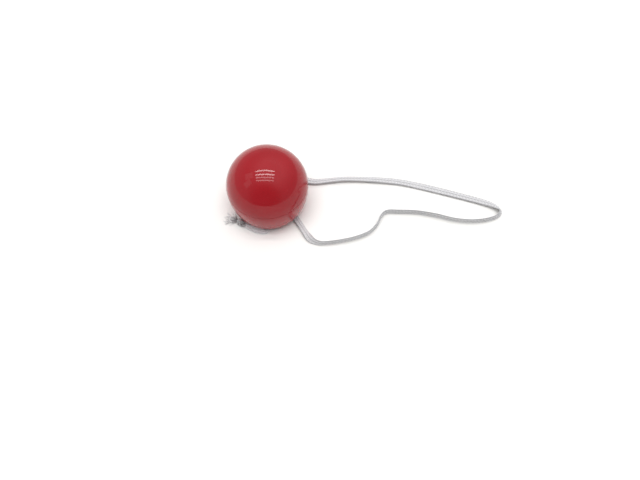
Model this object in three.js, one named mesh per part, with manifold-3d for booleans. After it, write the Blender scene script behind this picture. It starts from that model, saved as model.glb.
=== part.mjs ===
// Clown nose: a hollow red ball in two halves, open at the back, on a flat elastic band.
// Millimetres, +Z up. The ball stands on the rim of its open back, with its front pole on top.
// The origin is the centre of the rim, on the surface that the nose and its band lie on.

import * as THREE from "three";
import { mergeVertices } from "three/addons/utils/BufferGeometryUtils.js";
import Module from "manifold-3d";

const wasm = await Module();
wasm.setup();

// Ball
const BALL_DIAMETER = 46;
const BALL_DEPTH = 40;
const RIM_DIAMETER = 38;
const SEAM_HEIGHT = 19.5;
const WALL = 1.5;
const FIT = 0.3;

// Back rim: an inward lip round the opening for the wearer's nose
const NOSE_OPENING_DIAMETER = 32;
const LIP_THICKNESS = 1.6;

// Seam: the rear half carries a spigot that centres the front half
const SPIGOT_HEIGHT = 2.2;
const SPIGOT_WALL = 1;
const SPIGOT_ROOT = 2;

// Reliefs in the rim where the band passes under it: the room that each leaves beside the band and above
// it, and the length of its rounded ends
const FRONT_RELIEF = { azimuth: -105, beside: 14.5, above: 1.3, end: 4 };
const SIDE_RELIEF = { azimuth: -39, beside: 2.5, above: 1.3, end: 1.2 };

// Tie holes, one at each side of the head
const TIE_HOLE_DIAMETER = 2.4;
const TIE_HOLE_AZIMUTH = 43;

// Light unit: a round battery case with one lamp, pushed into a socket under the front pole
const CASE_DIAMETER = 18;
const CASE_HEIGHT = 6.6;
const CASE_CHAMFER = 0.6;
const LAMP_DIAMETER = 5;
const LAMP_HEIGHT = 4.6;
const LAMP_CLEARANCE = 0.8;
const SOCKET_WALL = 1.3;
const SOCKET_GRIP = 2.7;
const SHOULDER = 1;

// Elastic band
const BAND_WIDTH = 4.5;
const BAND_THICKNESS = 0.7;
const BAND_CORNER_CUT = 0.6;
const BAND_STEPS_PER_SPAN = 2;

// Knots: half sizes along the rim, across it and upwards
const END_KNOT = { along: 2.5, across: 1.5, up: 2.1 };
const STOPPER_KNOT = { along: 1.9, across: 1.5, up: 1.5 };
const NECK_CLEARANCE = 0.4;
const KNOT_FOOT = 0.2;

// Turns of the band over a knot: share of the knot that its core fills, width, bulge and slant in radians
const KNOT_CORE = 0.84;
const TURN_WIDTH = 1.6;
const TURN_BULGE = 0.35;
const TURN_SLANT = 0.42;

// Frayed tail: strands that fan out of the knot, with the fan's middle direction and reach
const TAIL_AZIMUTH = 146;
const TAIL_REACH = 6.6;
const TAIL_HEAD_RADIUS = 1.2;
const STRAND_RADIUS = 0.42;
const STRAND_TIP_RADIUS = 0.16;

// Facets, and how far a cutter reaches past a wall
const ROUND_SEGMENTS = 60;
const ARC_STEPS = 10;
const OUTER_ARC_STEPS = 14;
const POLE_STEPS = 4;
const LIGHT_SEGMENTS = 32;
const HOLE_SEGMENTS = 16;
const RELIEF_SEGMENTS = 5;
const LUMP_SEGMENTS = 10;
const LUMP_RINGS = 7;
const TURN_SEGMENTS = 14;
const ROD_SEGMENTS = 6;
const CUT_MARGIN = 2;
const MERGE_DISTANCE = 1e-4;

// Route of the band from the right tie hole to the end knot. Lean turns the band about its length:
// 0 lies flat, -90 stands on edge. Spread is the share of its full width that the band is opened to.
const BAND_ROUTE = [
  { x: 13.9, y: 12.96, z: 3.4, lean: 0, spread: 0.38 },
  { x: 15.9, y: 14.6, z: 3.25, lean: 0, spread: 0.42 },
  { x: 18.8, y: 14.8, z: 2.4, lean: -4, spread: 0.75 },
  { x: 22.2, y: 13.6, z: 1.4, lean: -9, spread: 0.95 },
  { x: 27, y: 13, z: 1.1, lean: -14, spread: 1 },
  { x: 34.5, y: 13.7, z: 1.3, lean: -20, spread: 1 },
  { x: 43.5, y: 14.7, z: 1.4, lean: -22, spread: 1 },
  { x: 54, y: 14.7, z: 1.3, lean: -19, spread: 1 },
  { x: 65.5, y: 14.1, z: 1.1, lean: -15, spread: 1 },
  { x: 77, y: 12.8, z: 0.9, lean: -9, spread: 1 },
  { x: 88, y: 10.3, z: 0.8, lean: -5, spread: 1 },
  { x: 104, y: 5.7, z: 0.8, lean: -5, spread: 1 },
  { x: 119, y: 1, z: 0.9, lean: -8, spread: 1 },
  { x: 127, y: -1.8, z: 1.2, lean: -14, spread: 1 },
  { x: 132.2, y: -4.6, z: 1.7, lean: -30, spread: 1 },
  { x: 134.4, y: -8.2, z: 2.35, lean: -56, spread: 1 },
  { x: 131.4, y: -11.9, z: 2.6, lean: -80, spread: 1 },
  { x: 124.4, y: -14.2, z: 2.8, lean: -88, spread: 1 },
  { x: 116, y: -15, z: 3, lean: -90, spread: 1 },
  { x: 106.5, y: -14, z: 3, lean: -90, spread: 1 },
  { x: 96.5, y: -11.2, z: 2.9, lean: -90, spread: 1 },
  { x: 86, y: -9, z: 2.6, lean: -90, spread: 1 },
  { x: 75.5, y: -8.5, z: 2.5, lean: -90, spread: 1 },
  { x: 68.4, y: -8.6, z: 2.5, lean: -88, spread: 1 },
  { x: 64.9, y: -11.6, z: 2.5, lean: -84, spread: 1 },
  { x: 62.3, y: -17.1, z: 2.6, lean: -84, spread: 1 },
  { x: 57.2, y: -22.4, z: 2.8, lean: -88, spread: 1 },
  { x: 48.5, y: -26.1, z: 3, lean: -90, spread: 1 },
  { x: 38.5, y: -28.2, z: 2.9, lean: -90, spread: 1 },
  { x: 30, y: -28.9, z: 2.65, lean: -84, spread: 1 },
  { x: 24.9, y: -26.7, z: 2.2, lean: -50, spread: 0.97 },
  { x: 21.3, y: -21.7, z: 1.2, lean: 14, spread: 0.9 },
  { x: 17.8, y: -15.7, z: 0.95, lean: 14, spread: 0.88 },
  { x: 14.2, y: -10.7, z: 0.6, lean: 3, spread: 0.92 },
  { x: 8.4, y: -9.6, z: 0.5, lean: 0, spread: 1 },
  { x: 2.2, y: -13.8, z: 0.5, lean: 0, spread: 0.86 },
  { x: -1.2, y: -19.8, z: 0.7, lean: -4, spread: 0.82 },
  { x: -5.3, y: -20.1, z: 0.95, lean: -15, spread: 0.8 },
  { x: -9.8, y: -18.6, z: 1, lean: -15, spread: 0.7 },
  { x: -13.5, y: -16.7, z: 1, lean: -10, spread: 0.55 },
];

// Strands of the tail: turn from the fan's middle, reach as a share of the fan's, rise of the tip
const TAIL_STRANDS = [
  { turn: -46, reach: 0.66, rise: 0.6 },
  { turn: -30, reach: 0.86, rise: 2.2 },
  { turn: -15, reach: 1.0, rise: 0.9 },
  { turn: -3, reach: 0.84, rise: 3.0 },
  { turn: 11, reach: 1.0, rise: 1.6 },
  { turn: 24, reach: 0.88, rise: 0.5 },
  { turn: 39, reach: 0.72, rise: 1.5 },
];

// Derived sizes of the ball
const BALL_RADIUS = BALL_DIAMETER / 2;
const RIM_RADIUS = RIM_DIAMETER / 2;
const CENTRE_HEIGHT = BALL_DEPTH - BALL_RADIUS;
const REAR_DRAW = BALL_RADIUS - RIM_RADIUS;
const REAR_ARC_RADIUS = (REAR_DRAW ** 2 + CENTRE_HEIGHT ** 2) / (2 * REAR_DRAW);
const REAR_ARC_OFFSET = BALL_RADIUS - REAR_ARC_RADIUS;

// The case's top leaves the lamp its clearance under the front pole
const CASE_TOP = BALL_DEPTH - WALL - LAMP_CLEARANCE - LAMP_HEIGHT;

// The tie holes stand high enough for a stopper knot to lie above the lip
const TIE_HOLE_RADIUS = TIE_HOLE_DIAMETER / 2;
const TIE_HOLE_HEIGHT = LIP_THICKNESS + FIT + STOPPER_KNOT.up;
const NECK_RADIUS = TIE_HOLE_RADIUS - NECK_CLEARANCE;

// Radius of a skin that lies `inset` inside the ball's outside, at height z. Above the ball's centre the
// outside is a sphere; below it an arc that is upright at the centre's height and meets the rim.
function skinRadius(z, inset = 0) {
  const rise = z - CENTRE_HEIGHT;
  if (rise >= 0) return Math.sqrt((BALL_RADIUS - inset) ** 2 - rise ** 2);
  return REAR_ARC_OFFSET + Math.sqrt((REAR_ARC_RADIUS - inset) ** 2 - rise ** 2);
}

// Height of the front half's skin at radius r
function domeHeight(r, inset = 0) {
  return CENTRE_HEIGHT + Math.sqrt((BALL_RADIUS - inset) ** 2 - r ** 2);
}

// Profile points on the skin between two heights, both ends included
function skinArc(fromZ, toZ, inset, steps = ARC_STEPS) {
  const turnAt = (z) => Math.asin(THREE.MathUtils.clamp((z - CENTRE_HEIGHT) / (BALL_RADIUS - inset), -1, 1));
  const points = [];
  for (let i = 0; i <= steps; i += 1) {
    const turn = THREE.MathUtils.lerp(turnAt(fromZ), turnAt(toZ), i / steps);
    const z = CENTRE_HEIGHT + (BALL_RADIUS - inset) * Math.sin(turn);
    points.push(new THREE.Vector2(Math.max(skinRadius(z, inset), 0), z));
  }
  points[0].y = fromZ;
  points[steps].y = toZ;
  return points;
}

// Signed volume of a closed mesh, positive when its faces point out
function signedVolume(geometry) {
  const { position } = geometry.attributes;
  const index = geometry.index.array;
  const [a, b, c] = [new THREE.Vector3(), new THREE.Vector3(), new THREE.Vector3()];
  let sum = 0;
  for (let i = 0; i < index.length; i += 3) {
    a.fromBufferAttribute(position, index[i]);
    b.fromBufferAttribute(position, index[i + 1]);
    c.fromBufferAttribute(position, index[i + 2]);
    sum += a.dot(b.cross(c)) / 6;
  }
  return sum;
}

// The geometry with shared corners merged, empty triangles dropped and every face pointing out
function closed(geometry) {
  const plain = geometry.clone();
  for (const name of Object.keys(plain.attributes)) {
    if (name !== "position") plain.deleteAttribute(name);
  }
  const merged = mergeVertices(plain, MERGE_DISTANCE);
  const kept = [];
  const { array } = merged.index;
  for (let i = 0; i < array.length; i += 3) {
    const [a, b, c] = [array[i], array[i + 1], array[i + 2]];
    if (a !== b && b !== c && c !== a) kept.push(a, b, c);
  }
  merged.setIndex(kept);
  if (signedVolume(merged) < 0) merged.setIndex(kept.toReversed());
  return merged;
}

function toSolid(geometry) {
  const merged = closed(geometry);
  return new wasm.Manifold(
    new wasm.Mesh({
      numProp: 3,
      vertProperties: new Float32Array(merged.attributes.position.array),
      triVerts: new Uint32Array(merged.index.array),
    }),
  );
}

function toGeometry(solid) {
  const { vertProperties, triVerts } = solid.getMesh();
  const geometry = new THREE.BufferGeometry();
  geometry.setAttribute("position", new THREE.BufferAttribute(vertProperties, 3));
  geometry.setIndex(new THREE.BufferAttribute(triVerts, 1));
  return geometry;
}

function lathe(points, segments = ROUND_SEGMENTS) {
  return new THREE.LatheGeometry(points, segments).rotateX(Math.PI / 2);
}

// A place on the ball given by its azimuth, its radius from the axis and its height
function around(azimuth, radius, z) {
  const turn = THREE.MathUtils.degToRad(azimuth);
  return new THREE.Vector3(radius * Math.cos(turn), radius * Math.sin(turn), z);
}

// Moves a shape made round the origin, with +X pointing outwards, to a place on the ball
function placed(geometry, azimuth, radius, z) {
  return geometry.rotateZ(THREE.MathUtils.degToRad(azimuth)).translate(...around(azimuth, radius, z));
}

// Rounded lump with the given half sizes: +X across the rim, +Y along it
function lump({ across, along, up }) {
  return new THREE.SphereGeometry(1, LUMP_SEGMENTS, LUMP_RINGS).scale(across, along, up);
}

function frontShell() {
  const caseRadius = CASE_DIAMETER / 2;
  const shoulderRadius = caseRadius + FIT - SHOULDER;
  const socketRadius = caseRadius + FIT + SOCKET_WALL;
  const shoulderHeight = CASE_TOP + FIT;
  const socketFoot = shoulderHeight - SOCKET_GRIP;
  const seam = SEAM_HEIGHT + FIT / 2;
  const innerPole = CENTRE_HEIGHT + BALL_RADIUS - WALL;
  return lathe([
    ...skinArc(innerPole, domeHeight(shoulderRadius, WALL), WALL, POLE_STEPS),
    new THREE.Vector2(shoulderRadius, shoulderHeight),
    new THREE.Vector2(caseRadius + FIT, shoulderHeight),
    new THREE.Vector2(caseRadius + FIT, socketFoot),
    new THREE.Vector2(socketRadius, socketFoot),
    ...skinArc(domeHeight(socketRadius, WALL), seam, WALL),
    ...skinArc(seam, BALL_DEPTH, 0, OUTER_ARC_STEPS),
  ]);
}

// Outline of a relief seen from outside the rim: flat on top, with a quarter ellipse at each end
function reliefShape({ beside, above, end }) {
  const width = BAND_WIDTH + beside;
  const height = BAND_THICKNESS + above;
  const shape = new THREE.Shape();
  const below = -height;
  shape.moveTo(-width / 2, below);
  shape.lineTo(width / 2, below);
  shape.lineTo(width / 2, 0);
  shape.absellipse(width / 2 - end, 0, end, height, 0, Math.PI / 2, false);
  shape.absellipse(-width / 2 + end, 0, end, height, Math.PI / 2, Math.PI, false);
  shape.closePath();
  return shape;
}

// The cutter starts inside the opening, where the opening is as wide as the relief
function reliefCutter(relief) {
  const halfWidth = (BAND_WIDTH + relief.beside) / 2;
  const inside = Math.sqrt((NOSE_OPENING_DIAMETER / 2) ** 2 - halfWidth ** 2) - CUT_MARGIN;
  const depth = BALL_RADIUS + CUT_MARGIN - inside;
  const options = { depth, bevelEnabled: false, curveSegments: RELIEF_SEGMENTS };
  const cutter = new THREE.ExtrudeGeometry(reliefShape(relief), options);
  cutter.rotateX(Math.PI / 2).rotateZ(Math.PI / 2);
  return placed(cutter, relief.azimuth, inside, 0);
}

function tieHoleCutter(azimuth) {
  const depth = WALL + 2 * CUT_MARGIN;
  const cutter = new THREE.CylinderGeometry(TIE_HOLE_RADIUS, TIE_HOLE_RADIUS, depth, HOLE_SEGMENTS);
  cutter.rotateZ(Math.PI / 2);
  return placed(cutter, azimuth, skinRadius(TIE_HOLE_HEIGHT, WALL / 2), TIE_HOLE_HEIGHT);
}

function rearShell() {
  const seam = SEAM_HEIGHT - FIT / 2;
  const spigotTop = seam + SPIGOT_HEIGHT;
  const spigotRadius = skinRadius(spigotTop, WALL) - FIT;
  const spigotInner = spigotRadius - SPIGOT_WALL;
  const rootHeight = seam - SPIGOT_ROOT;
  const rootFoot = rootHeight - (skinRadius(rootHeight, WALL) - spigotInner);
  const lipRadius = NOSE_OPENING_DIAMETER / 2;
  const profile = [
    new THREE.Vector2(lipRadius, 0),
    ...skinArc(0, seam, 0, OUTER_ARC_STEPS),
    new THREE.Vector2(spigotRadius, seam),
    new THREE.Vector2(spigotRadius, spigotTop),
    new THREE.Vector2(spigotInner, spigotTop),
    new THREE.Vector2(spigotInner, rootHeight),
    ...skinArc(rootFoot, LIP_THICKNESS, WALL),
    new THREE.Vector2(lipRadius, LIP_THICKNESS),
  ];
  profile.push(profile[0].clone());
  let shell = toSolid(lathe(profile));
  for (const relief of [FRONT_RELIEF, SIDE_RELIEF]) {
    shell = shell.subtract(toSolid(reliefCutter(relief)));
  }
  for (const azimuth of [TIE_HOLE_AZIMUTH, TIE_HOLE_AZIMUTH + 180]) {
    shell = shell.subtract(toSolid(tieHoleCutter(azimuth)));
  }
  return toGeometry(shell);
}

function lightUnit() {
  const caseRadius = CASE_DIAMETER / 2;
  const lampRadius = LAMP_DIAMETER / 2;
  const foot = CASE_TOP - CASE_HEIGHT;
  const shaft = CASE_TOP + LAMP_HEIGHT - lampRadius;
  const profile = [
    new THREE.Vector2(0, foot),
    new THREE.Vector2(caseRadius - CASE_CHAMFER, foot),
    new THREE.Vector2(caseRadius, foot + CASE_CHAMFER),
    new THREE.Vector2(caseRadius, CASE_TOP),
    new THREE.Vector2(lampRadius, CASE_TOP),
  ];
  for (let i = 0; i <= POLE_STEPS; i += 1) {
    const turn = (i / POLE_STEPS) * (Math.PI / 2);
    profile.push(new THREE.Vector2(lampRadius * Math.cos(turn), shaft + lampRadius * Math.sin(turn)));
  }
  profile.at(-1).x = 0;
  return lathe(profile, LIGHT_SEGMENTS);
}

// Catmull-Rom value of one column of the route between rows i and i + 1
function routeValue(column, i, t) {
  const row = (k) => BAND_ROUTE[THREE.MathUtils.clamp(k, 0, BAND_ROUTE.length - 1)][column];
  const [a, b, c, d] = [row(i - 1), row(i), row(i + 1), row(i + 2)];
  return b + 0.5 * t * (c - a + t * (2 * a - 5 * b + 4 * c - d + t * (3 * (b - c) + d - a)));
}

// Section of the band across its width and through its thickness, with the four corners cut
function bandSection(width) {
  const [w, h] = [width / 2, BAND_THICKNESS / 2];
  const cut = BAND_CORNER_CUT * h;
  const [wc, hc] = [w - cut, h - cut];
  return [[-w, -hc], [-wc, -h], [wc, -h], [w, -hc], [w, hc], [wc, h], [-wc, h], [-w, hc]];
}

function elasticBand() {
  const stations = [];
  for (let i = 0; i < BAND_ROUTE.length - 1; i += 1) {
    for (let k = 0; k < BAND_STEPS_PER_SPAN; k += 1) stations.push([i, k / BAND_STEPS_PER_SPAN]);
  }
  stations.push([BAND_ROUTE.length - 2, 1]);
  const centre = stations.map(
    ([i, t]) => new THREE.Vector3(routeValue("x", i, t), routeValue("y", i, t), routeValue("z", i, t)),
  );
  const corners = [];
  stations.forEach(([i, t], n) => {
    const ahead = centre[Math.min(n + 1, centre.length - 1)];
    const behind = centre[Math.max(n - 1, 0)];
    const along = ahead.clone().sub(behind).normalize();
    const level = new THREE.Vector3(0, 0, 1).cross(along).normalize();
    const upright = along.clone().cross(level);
    const lean = THREE.MathUtils.degToRad(routeValue("lean", i, t));
    const across = level.clone().multiplyScalar(Math.cos(lean)).addScaledVector(upright, Math.sin(lean));
    const through = along.clone().cross(across);
    for (const [u, v] of bandSection(BAND_WIDTH * routeValue("spread", i, t))) {
      corners.push(...centre[n].clone().addScaledVector(across, u).addScaledVector(through, v));
    }
  });
  const sides = bandSection(BAND_WIDTH).length;
  const faces = [];
  for (let n = 0; n < stations.length - 1; n += 1) {
    for (let j = 0; j < sides; j += 1) {
      const [a, b] = [n * sides + j, n * sides + ((j + 1) % sides)];
      faces.push(a, b, b + sides, a, b + sides, a + sides);
    }
  }
  const last = (stations.length - 1) * sides;
  for (let j = 1; j < sides - 1; j += 1) {
    faces.push(0, j + 1, j);
    faces.push(last, last + j, last + j + 1);
  }
  const band = new THREE.BufferGeometry();
  band.setAttribute("position", new THREE.Float32BufferAttribute(corners, 3));
  band.setIndex(faces);
  return closed(band);
}

// Knot: a core with two turns of the band wrapped over it, crossing each other, which reach its full size
function knot(sizes) {
  const { across, along, up } = sizes;
  let solid = toSolid(lump({ across: across * KNOT_CORE, along, up: up * KNOT_CORE }));
  for (const slant of [-1, 1]) {
    const turn = new THREE.TorusGeometry(1, TURN_BULGE, ROD_SEGMENTS, TURN_SEGMENTS).rotateX(Math.PI / 2);
    turn.scale(across / (1 + TURN_BULGE), TURN_WIDTH / 2 / TURN_BULGE, up / (1 + TURN_BULGE));
    solid = solid.add(toSolid(turn.rotateZ(slant * TURN_SLANT)));
  }
  return solid;
}

const END_KNOT_RADIUS = skinRadius(2 * END_KNOT.up) + FIT + END_KNOT.across;

// The end knot lies outside the left tie hole. Its neck passes through the hole to a plain head inside.
function endKnot() {
  const azimuth = TIE_HOLE_AZIMUTH + 180;
  const inside = skinRadius(TIE_HOLE_HEIGHT, WALL) - FIT - STOPPER_KNOT.across;
  const neckLength = END_KNOT_RADIUS - inside;
  const neck = new THREE.CylinderGeometry(NECK_RADIUS, NECK_RADIUS, neckLength, LUMP_SEGMENTS);
  neck.rotateZ(Math.PI / 2);
  const lying = toGeometry(knot(END_KNOT));
  const parts = [
    placed(neck, azimuth, (END_KNOT_RADIUS + inside) / 2, TIE_HOLE_HEIGHT),
    placed(lump(STOPPER_KNOT), azimuth, inside, TIE_HOLE_HEIGHT),
  ];
  let solid = toSolid(placed(lying, azimuth, END_KNOT_RADIUS, KNOT_FOOT + END_KNOT.up));
  for (const part of parts) solid = solid.add(toSolid(part));
  return toGeometry(solid);
}

function stopperKnot() {
  const radius = skinRadius(TIE_HOLE_HEIGHT, WALL) - FIT - STOPPER_KNOT.across;
  return placed(lump(STOPPER_KNOT), TIE_HOLE_AZIMUTH, radius, TIE_HOLE_HEIGHT);
}

// One strand, a tapered rod from the head to its tip
function strand(from, to) {
  const rod = new THREE.CylinderGeometry(STRAND_TIP_RADIUS, STRAND_RADIUS, from.distanceTo(to), ROD_SEGMENTS);
  const turn = new THREE.Quaternion().setFromUnitVectors(
    new THREE.Vector3(0, 1, 0),
    to.clone().sub(from).normalize(),
  );
  return rod.applyQuaternion(turn).translate(...from.clone().lerp(to, 0.5));
}

function frayedTail() {
  const knotCentre = around(TIE_HOLE_AZIMUTH + 180, END_KNOT_RADIUS, 0);
  const headOffset = END_KNOT.along + TAIL_HEAD_RADIUS + FIT;
  const head = knotCentre.clone().add(around(TAIL_AZIMUTH, headOffset, TAIL_HEAD_RADIUS + STRAND_RADIUS));
  const core = new THREE.SphereGeometry(TAIL_HEAD_RADIUS, LUMP_SEGMENTS, LUMP_RINGS).translate(...head);
  let solid = toSolid(core);
  for (const { turn, reach, rise } of TAIL_STRANDS) {
    const tip = head.clone().add(around(TAIL_AZIMUTH + turn, TAIL_REACH * reach, 0));
    tip.z = STRAND_RADIUS + rise;
    solid = solid.add(toSolid(strand(head, tip)));
  }
  return toGeometry(solid);
}

// Materials
const redPlastic = { color: 0xb3161f, roughness: 0.12, metalness: 0 };
const greyPlastic = { color: 0xd8d8d4, roughness: 0.5, metalness: 0 };
const whiteElastic = { color: 0xdcdbe2, roughness: 0.85, metalness: 0 };

function piece(name, geometry, finish) {
  geometry.computeVertexNormals();
  const mesh = new THREE.Mesh(geometry, new THREE.MeshStandardMaterial(finish));
  mesh.name = name;
  return mesh;
}

const ball = new THREE.Group();
ball.add(
  piece("front_shell", closed(frontShell()), redPlastic),
  piece("rear_shell", closed(rearShell()), redPlastic),
  piece("light_unit", closed(lightUnit()), greyPlastic),
);

const elastic = new THREE.Group();
elastic.add(
  piece("elastic_band", elasticBand(), whiteElastic),
  piece("end_knot", closed(endKnot()), whiteElastic),
  piece("frayed_tail", closed(frayedTail()), whiteElastic),
  piece("stopper_knot", closed(stopperKnot()), whiteElastic),
);

const clownNose = new THREE.Group();
clownNose.add(ball, elastic);

export default clownNose;
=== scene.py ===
"""Clown nose on a flat elastic band: the finished surfaces, finishes, light and camera.

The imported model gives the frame. Lengths are metres, +Z is up, and the nose stands on the rim of its open
back at the origin, with its band laid beside it. Sizes are written in millimetres times MM.
"""

import functools
import logging
import math
from dataclasses import dataclass
from enum import Enum

import bmesh
import bpy
import numpy as np
from mathutils import Matrix, Vector

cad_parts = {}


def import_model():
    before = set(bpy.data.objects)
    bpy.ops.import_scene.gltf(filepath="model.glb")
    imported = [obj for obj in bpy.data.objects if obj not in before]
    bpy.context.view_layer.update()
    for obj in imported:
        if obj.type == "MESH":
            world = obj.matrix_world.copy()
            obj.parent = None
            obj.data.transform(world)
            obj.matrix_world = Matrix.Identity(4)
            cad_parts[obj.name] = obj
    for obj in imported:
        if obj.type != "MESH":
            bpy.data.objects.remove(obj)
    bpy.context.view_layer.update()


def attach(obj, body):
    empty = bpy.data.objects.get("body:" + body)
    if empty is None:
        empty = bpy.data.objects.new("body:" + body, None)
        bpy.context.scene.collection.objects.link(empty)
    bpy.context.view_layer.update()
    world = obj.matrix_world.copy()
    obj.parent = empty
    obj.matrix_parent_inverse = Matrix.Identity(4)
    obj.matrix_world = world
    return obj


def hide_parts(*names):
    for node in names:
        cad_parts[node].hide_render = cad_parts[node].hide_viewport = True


MM = 0.001
TAU = 2 * math.pi

# Points nearer than the first are merged, and edges shorter than the second are dropped
MERGE_DISTANCE = 1e-7
DROP_DISTANCE = 1e-8

# Sizes that more than one class shares
BALL_RADIUS = 23 * MM
BALL_DEPTH = 40 * MM
BALL_MIDDLE = BALL_DEPTH - BALL_RADIUS
CASE_RADIUS = 9 * MM
CASE_TOP = 33.1 * MM
TIE_HOLE_AZIMUTH = 43.0
TIE_HOLE_HEIGHT = 3.4 * MM

log = logging.getLogger("clown_nose")


class Slot(Enum):
    """The record's material slots."""

    RED = "red_plastic"
    LIGHT = "light_plastic"
    ELASTIC = "elastic"


# Mesh building


def unit(vectors: np.ndarray) -> np.ndarray:
    """Vectors divided by their own lengths."""
    return vectors / np.linalg.norm(vectors, axis=-1, keepdims=True)


def smooth_step(low: float, high: float, value: np.ndarray) -> np.ndarray:
    """0 up to low, 1 from high, and 3t^2 - 2t^3 between them."""
    t = np.clip((value - low) / (high - low), 0, 1)
    return t * t * (3 - 2 * t)


@dataclass
class Patch:
    """A mesh under construction: points, faces and, where a pattern follows the surface, UV pairs.

    Args:
        points: corner positions, one row each.
        faces: rows of four point numbers; a triangle repeats its last number.
        uvs: one UV pair per face corner, in the order of faces, or None.
    """

    points: np.ndarray
    faces: np.ndarray
    uvs: np.ndarray | None = None

    def joined(self, other: "Patch") -> "Patch":
        """This patch and another as one, each a closed shape of its own.

        Args:
            other: the patch to add.

        Returns:
            The patch of both.
        """
        uvs = None if self.uvs is None or other.uvs is None else np.concatenate([self.uvs, other.uvs])
        faces = np.concatenate([self.faces, other.faces + len(self.points)])
        return Patch(np.concatenate([self.points, other.points]), faces, uvs)


def grid_patch(
    points: np.ndarray, loop_rows: bool, loop_columns: bool, uvs: np.ndarray | None = None
) -> Patch:
    """A surface over a grid of points.

    Row i and column j give the corner points[i, j], and each cell of four neighbours is a face. A looped
    direction joins its last line of points to its first.

    Args:
        points: array of rows x columns x 3.
        loop_rows: whether the last row meets the first.
        loop_columns: whether the last column meets the first.
        uvs: array of (rows + loop_rows) x (columns + loop_columns) x 2, or None.

    Returns:
        The patch, with faces that turn from rows to columns.
    """
    rows, columns = points.shape[:2]
    i = np.arange(rows if loop_rows else rows - 1)[:, None]
    j = np.arange(columns if loop_columns else columns - 1)[None, :]
    corners = [(i, j), (i + 1, j), (i + 1, j + 1), (i, j + 1)]
    faces = np.stack([(a % rows) * columns + b % columns for a, b in corners], axis=-1).reshape(-1, 4)
    if uvs is not None:
        uvs = np.stack([uvs[a, b] for a, b in corners], axis=2).reshape(-1, 2)
    return Patch(points.reshape(-1, 3), faces, uvs)


def capped(tube: np.ndarray, uvs: np.ndarray | None = None) -> Patch:
    """A tube of rings, closed by drawing each end ring together to its middle.

    Args:
        tube: array of rings x sides x 3.
        uvs: array of (rings + 2) x (sides + 1) x 2, or None.

    Returns:
        The closed patch.
    """
    first = np.broadcast_to(tube[0].mean(axis=0), tube[0].shape)
    last = np.broadcast_to(tube[-1].mean(axis=0), tube[-1].shape)
    return grid_patch(np.concatenate([first[None], tube, last[None]]), False, True, uvs)


def make_piece(name: str, patch: Patch, sharp_degrees: float = 40) -> bpy.types.Object:
    """The patch as an object at the origin, welded and smooth shaded.

    Args:
        name: the piece's name.
        patch: its points and faces.
        sharp_degrees: edges that turn by more than this stay sharp.

    Returns:
        The object, linked to the scene.
    """
    mesh = bpy.data.meshes.new(name)
    mesh.from_pydata(patch.points.tolist(), [], patch.faces.tolist())
    if patch.uvs is not None:
        layer = mesh.uv_layers.new(name="UVMap")
        layer.data.foreach_set("uv", patch.uvs.astype(np.float32).ravel())
    welded(mesh)
    mesh.polygons.foreach_set("use_smooth", np.ones(len(mesh.polygons), dtype=bool))
    mesh.set_sharp_from_angle(angle=math.radians(sharp_degrees))
    piece = bpy.data.objects.new(name, mesh)
    bpy.context.scene.collection.objects.link(piece)
    return piece


def welded(mesh: bpy.types.Mesh) -> None:
    """Merges points that lie together, drops faces without area and turns every face outwards.

    Args:
        mesh: the mesh to mend.
    """
    work = bmesh.new()
    work.from_mesh(mesh)
    bmesh.ops.remove_doubles(work, verts=work.verts, dist=MERGE_DISTANCE)
    bmesh.ops.dissolve_degenerate(work, edges=work.edges, dist=DROP_DISTANCE)
    bmesh.ops.recalc_face_normals(work, faces=work.faces)
    work.to_mesh(mesh)
    work.free()


def dressed(piece: bpy.types.Object, finish: bpy.types.Material, node: str) -> bpy.types.Object:
    """Gives a piece its finish and hides the CAD node that it stands for. Every piece rides on the root.

    Args:
        piece: the piece's object.
        finish: its material.
        node: the CAD node that it replaces.

    Returns:
        The same piece.
    """
    piece.data.materials.clear()
    piece.data.materials.append(finish)
    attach(piece, "root")
    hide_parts(node)
    return piece


def fillet(
    before: np.ndarray, corner: np.ndarray, after: np.ndarray, radius: float, steps: int = 5
) -> np.ndarray:
    """Points of a quadratic curve that cuts a profile's corner.

    Args:
        before: the profile's point before the corner.
        corner: the corner.
        after: the profile's point after the corner.
        radius: how far from the corner the curve starts and ends.
        steps: how many points the curve has.

    Returns:
        Array of steps x 2.
    """
    start = corner + unit(before - corner) * radius
    end = corner + unit(after - corner) * radius
    t = np.linspace(0, 1, steps)[:, None]
    return (1 - t) ** 2 * start + 2 * t * (1 - t) * corner + t**2 * end


def filleted(profile: list[tuple[float, float, float]]) -> np.ndarray:
    """A closed profile with its corners rounded.

    Args:
        profile: rows of radius from the axis, height, and fillet size, where 0 leaves the point as it is.

    Returns:
        Array of points x 2.
    """
    table = np.array(profile)
    points, sizes = table[:, :2], table[:, 2]
    rounded = []
    for k, (point, size) in enumerate(zip(points, sizes)):
        if size > 0:
            rounded.append(fillet(points[k - 1], point, points[(k + 1) % len(points)], size))
        else:
            rounded.append(point[None])
    return np.concatenate(rounded)


def revolved(profile: np.ndarray, columns: int, loop: bool) -> Patch:
    """A profile turned round the Z axis: (r cos a, r sin a, z) for each angle a.

    Args:
        profile: rows of radius and height.
        columns: how many angles.
        loop: whether the profile's last point meets its first.

    Returns:
        The surface.
    """
    angle = np.arange(columns) * TAU / columns
    radius = profile[:, :1]
    height = np.broadcast_to(profile[:, 1:], (len(profile), columns))
    points = np.stack([radius * np.cos(angle), radius * np.sin(angle), height], axis=-1)
    return grid_patch(points, loop, True)


# Shader building


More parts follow.
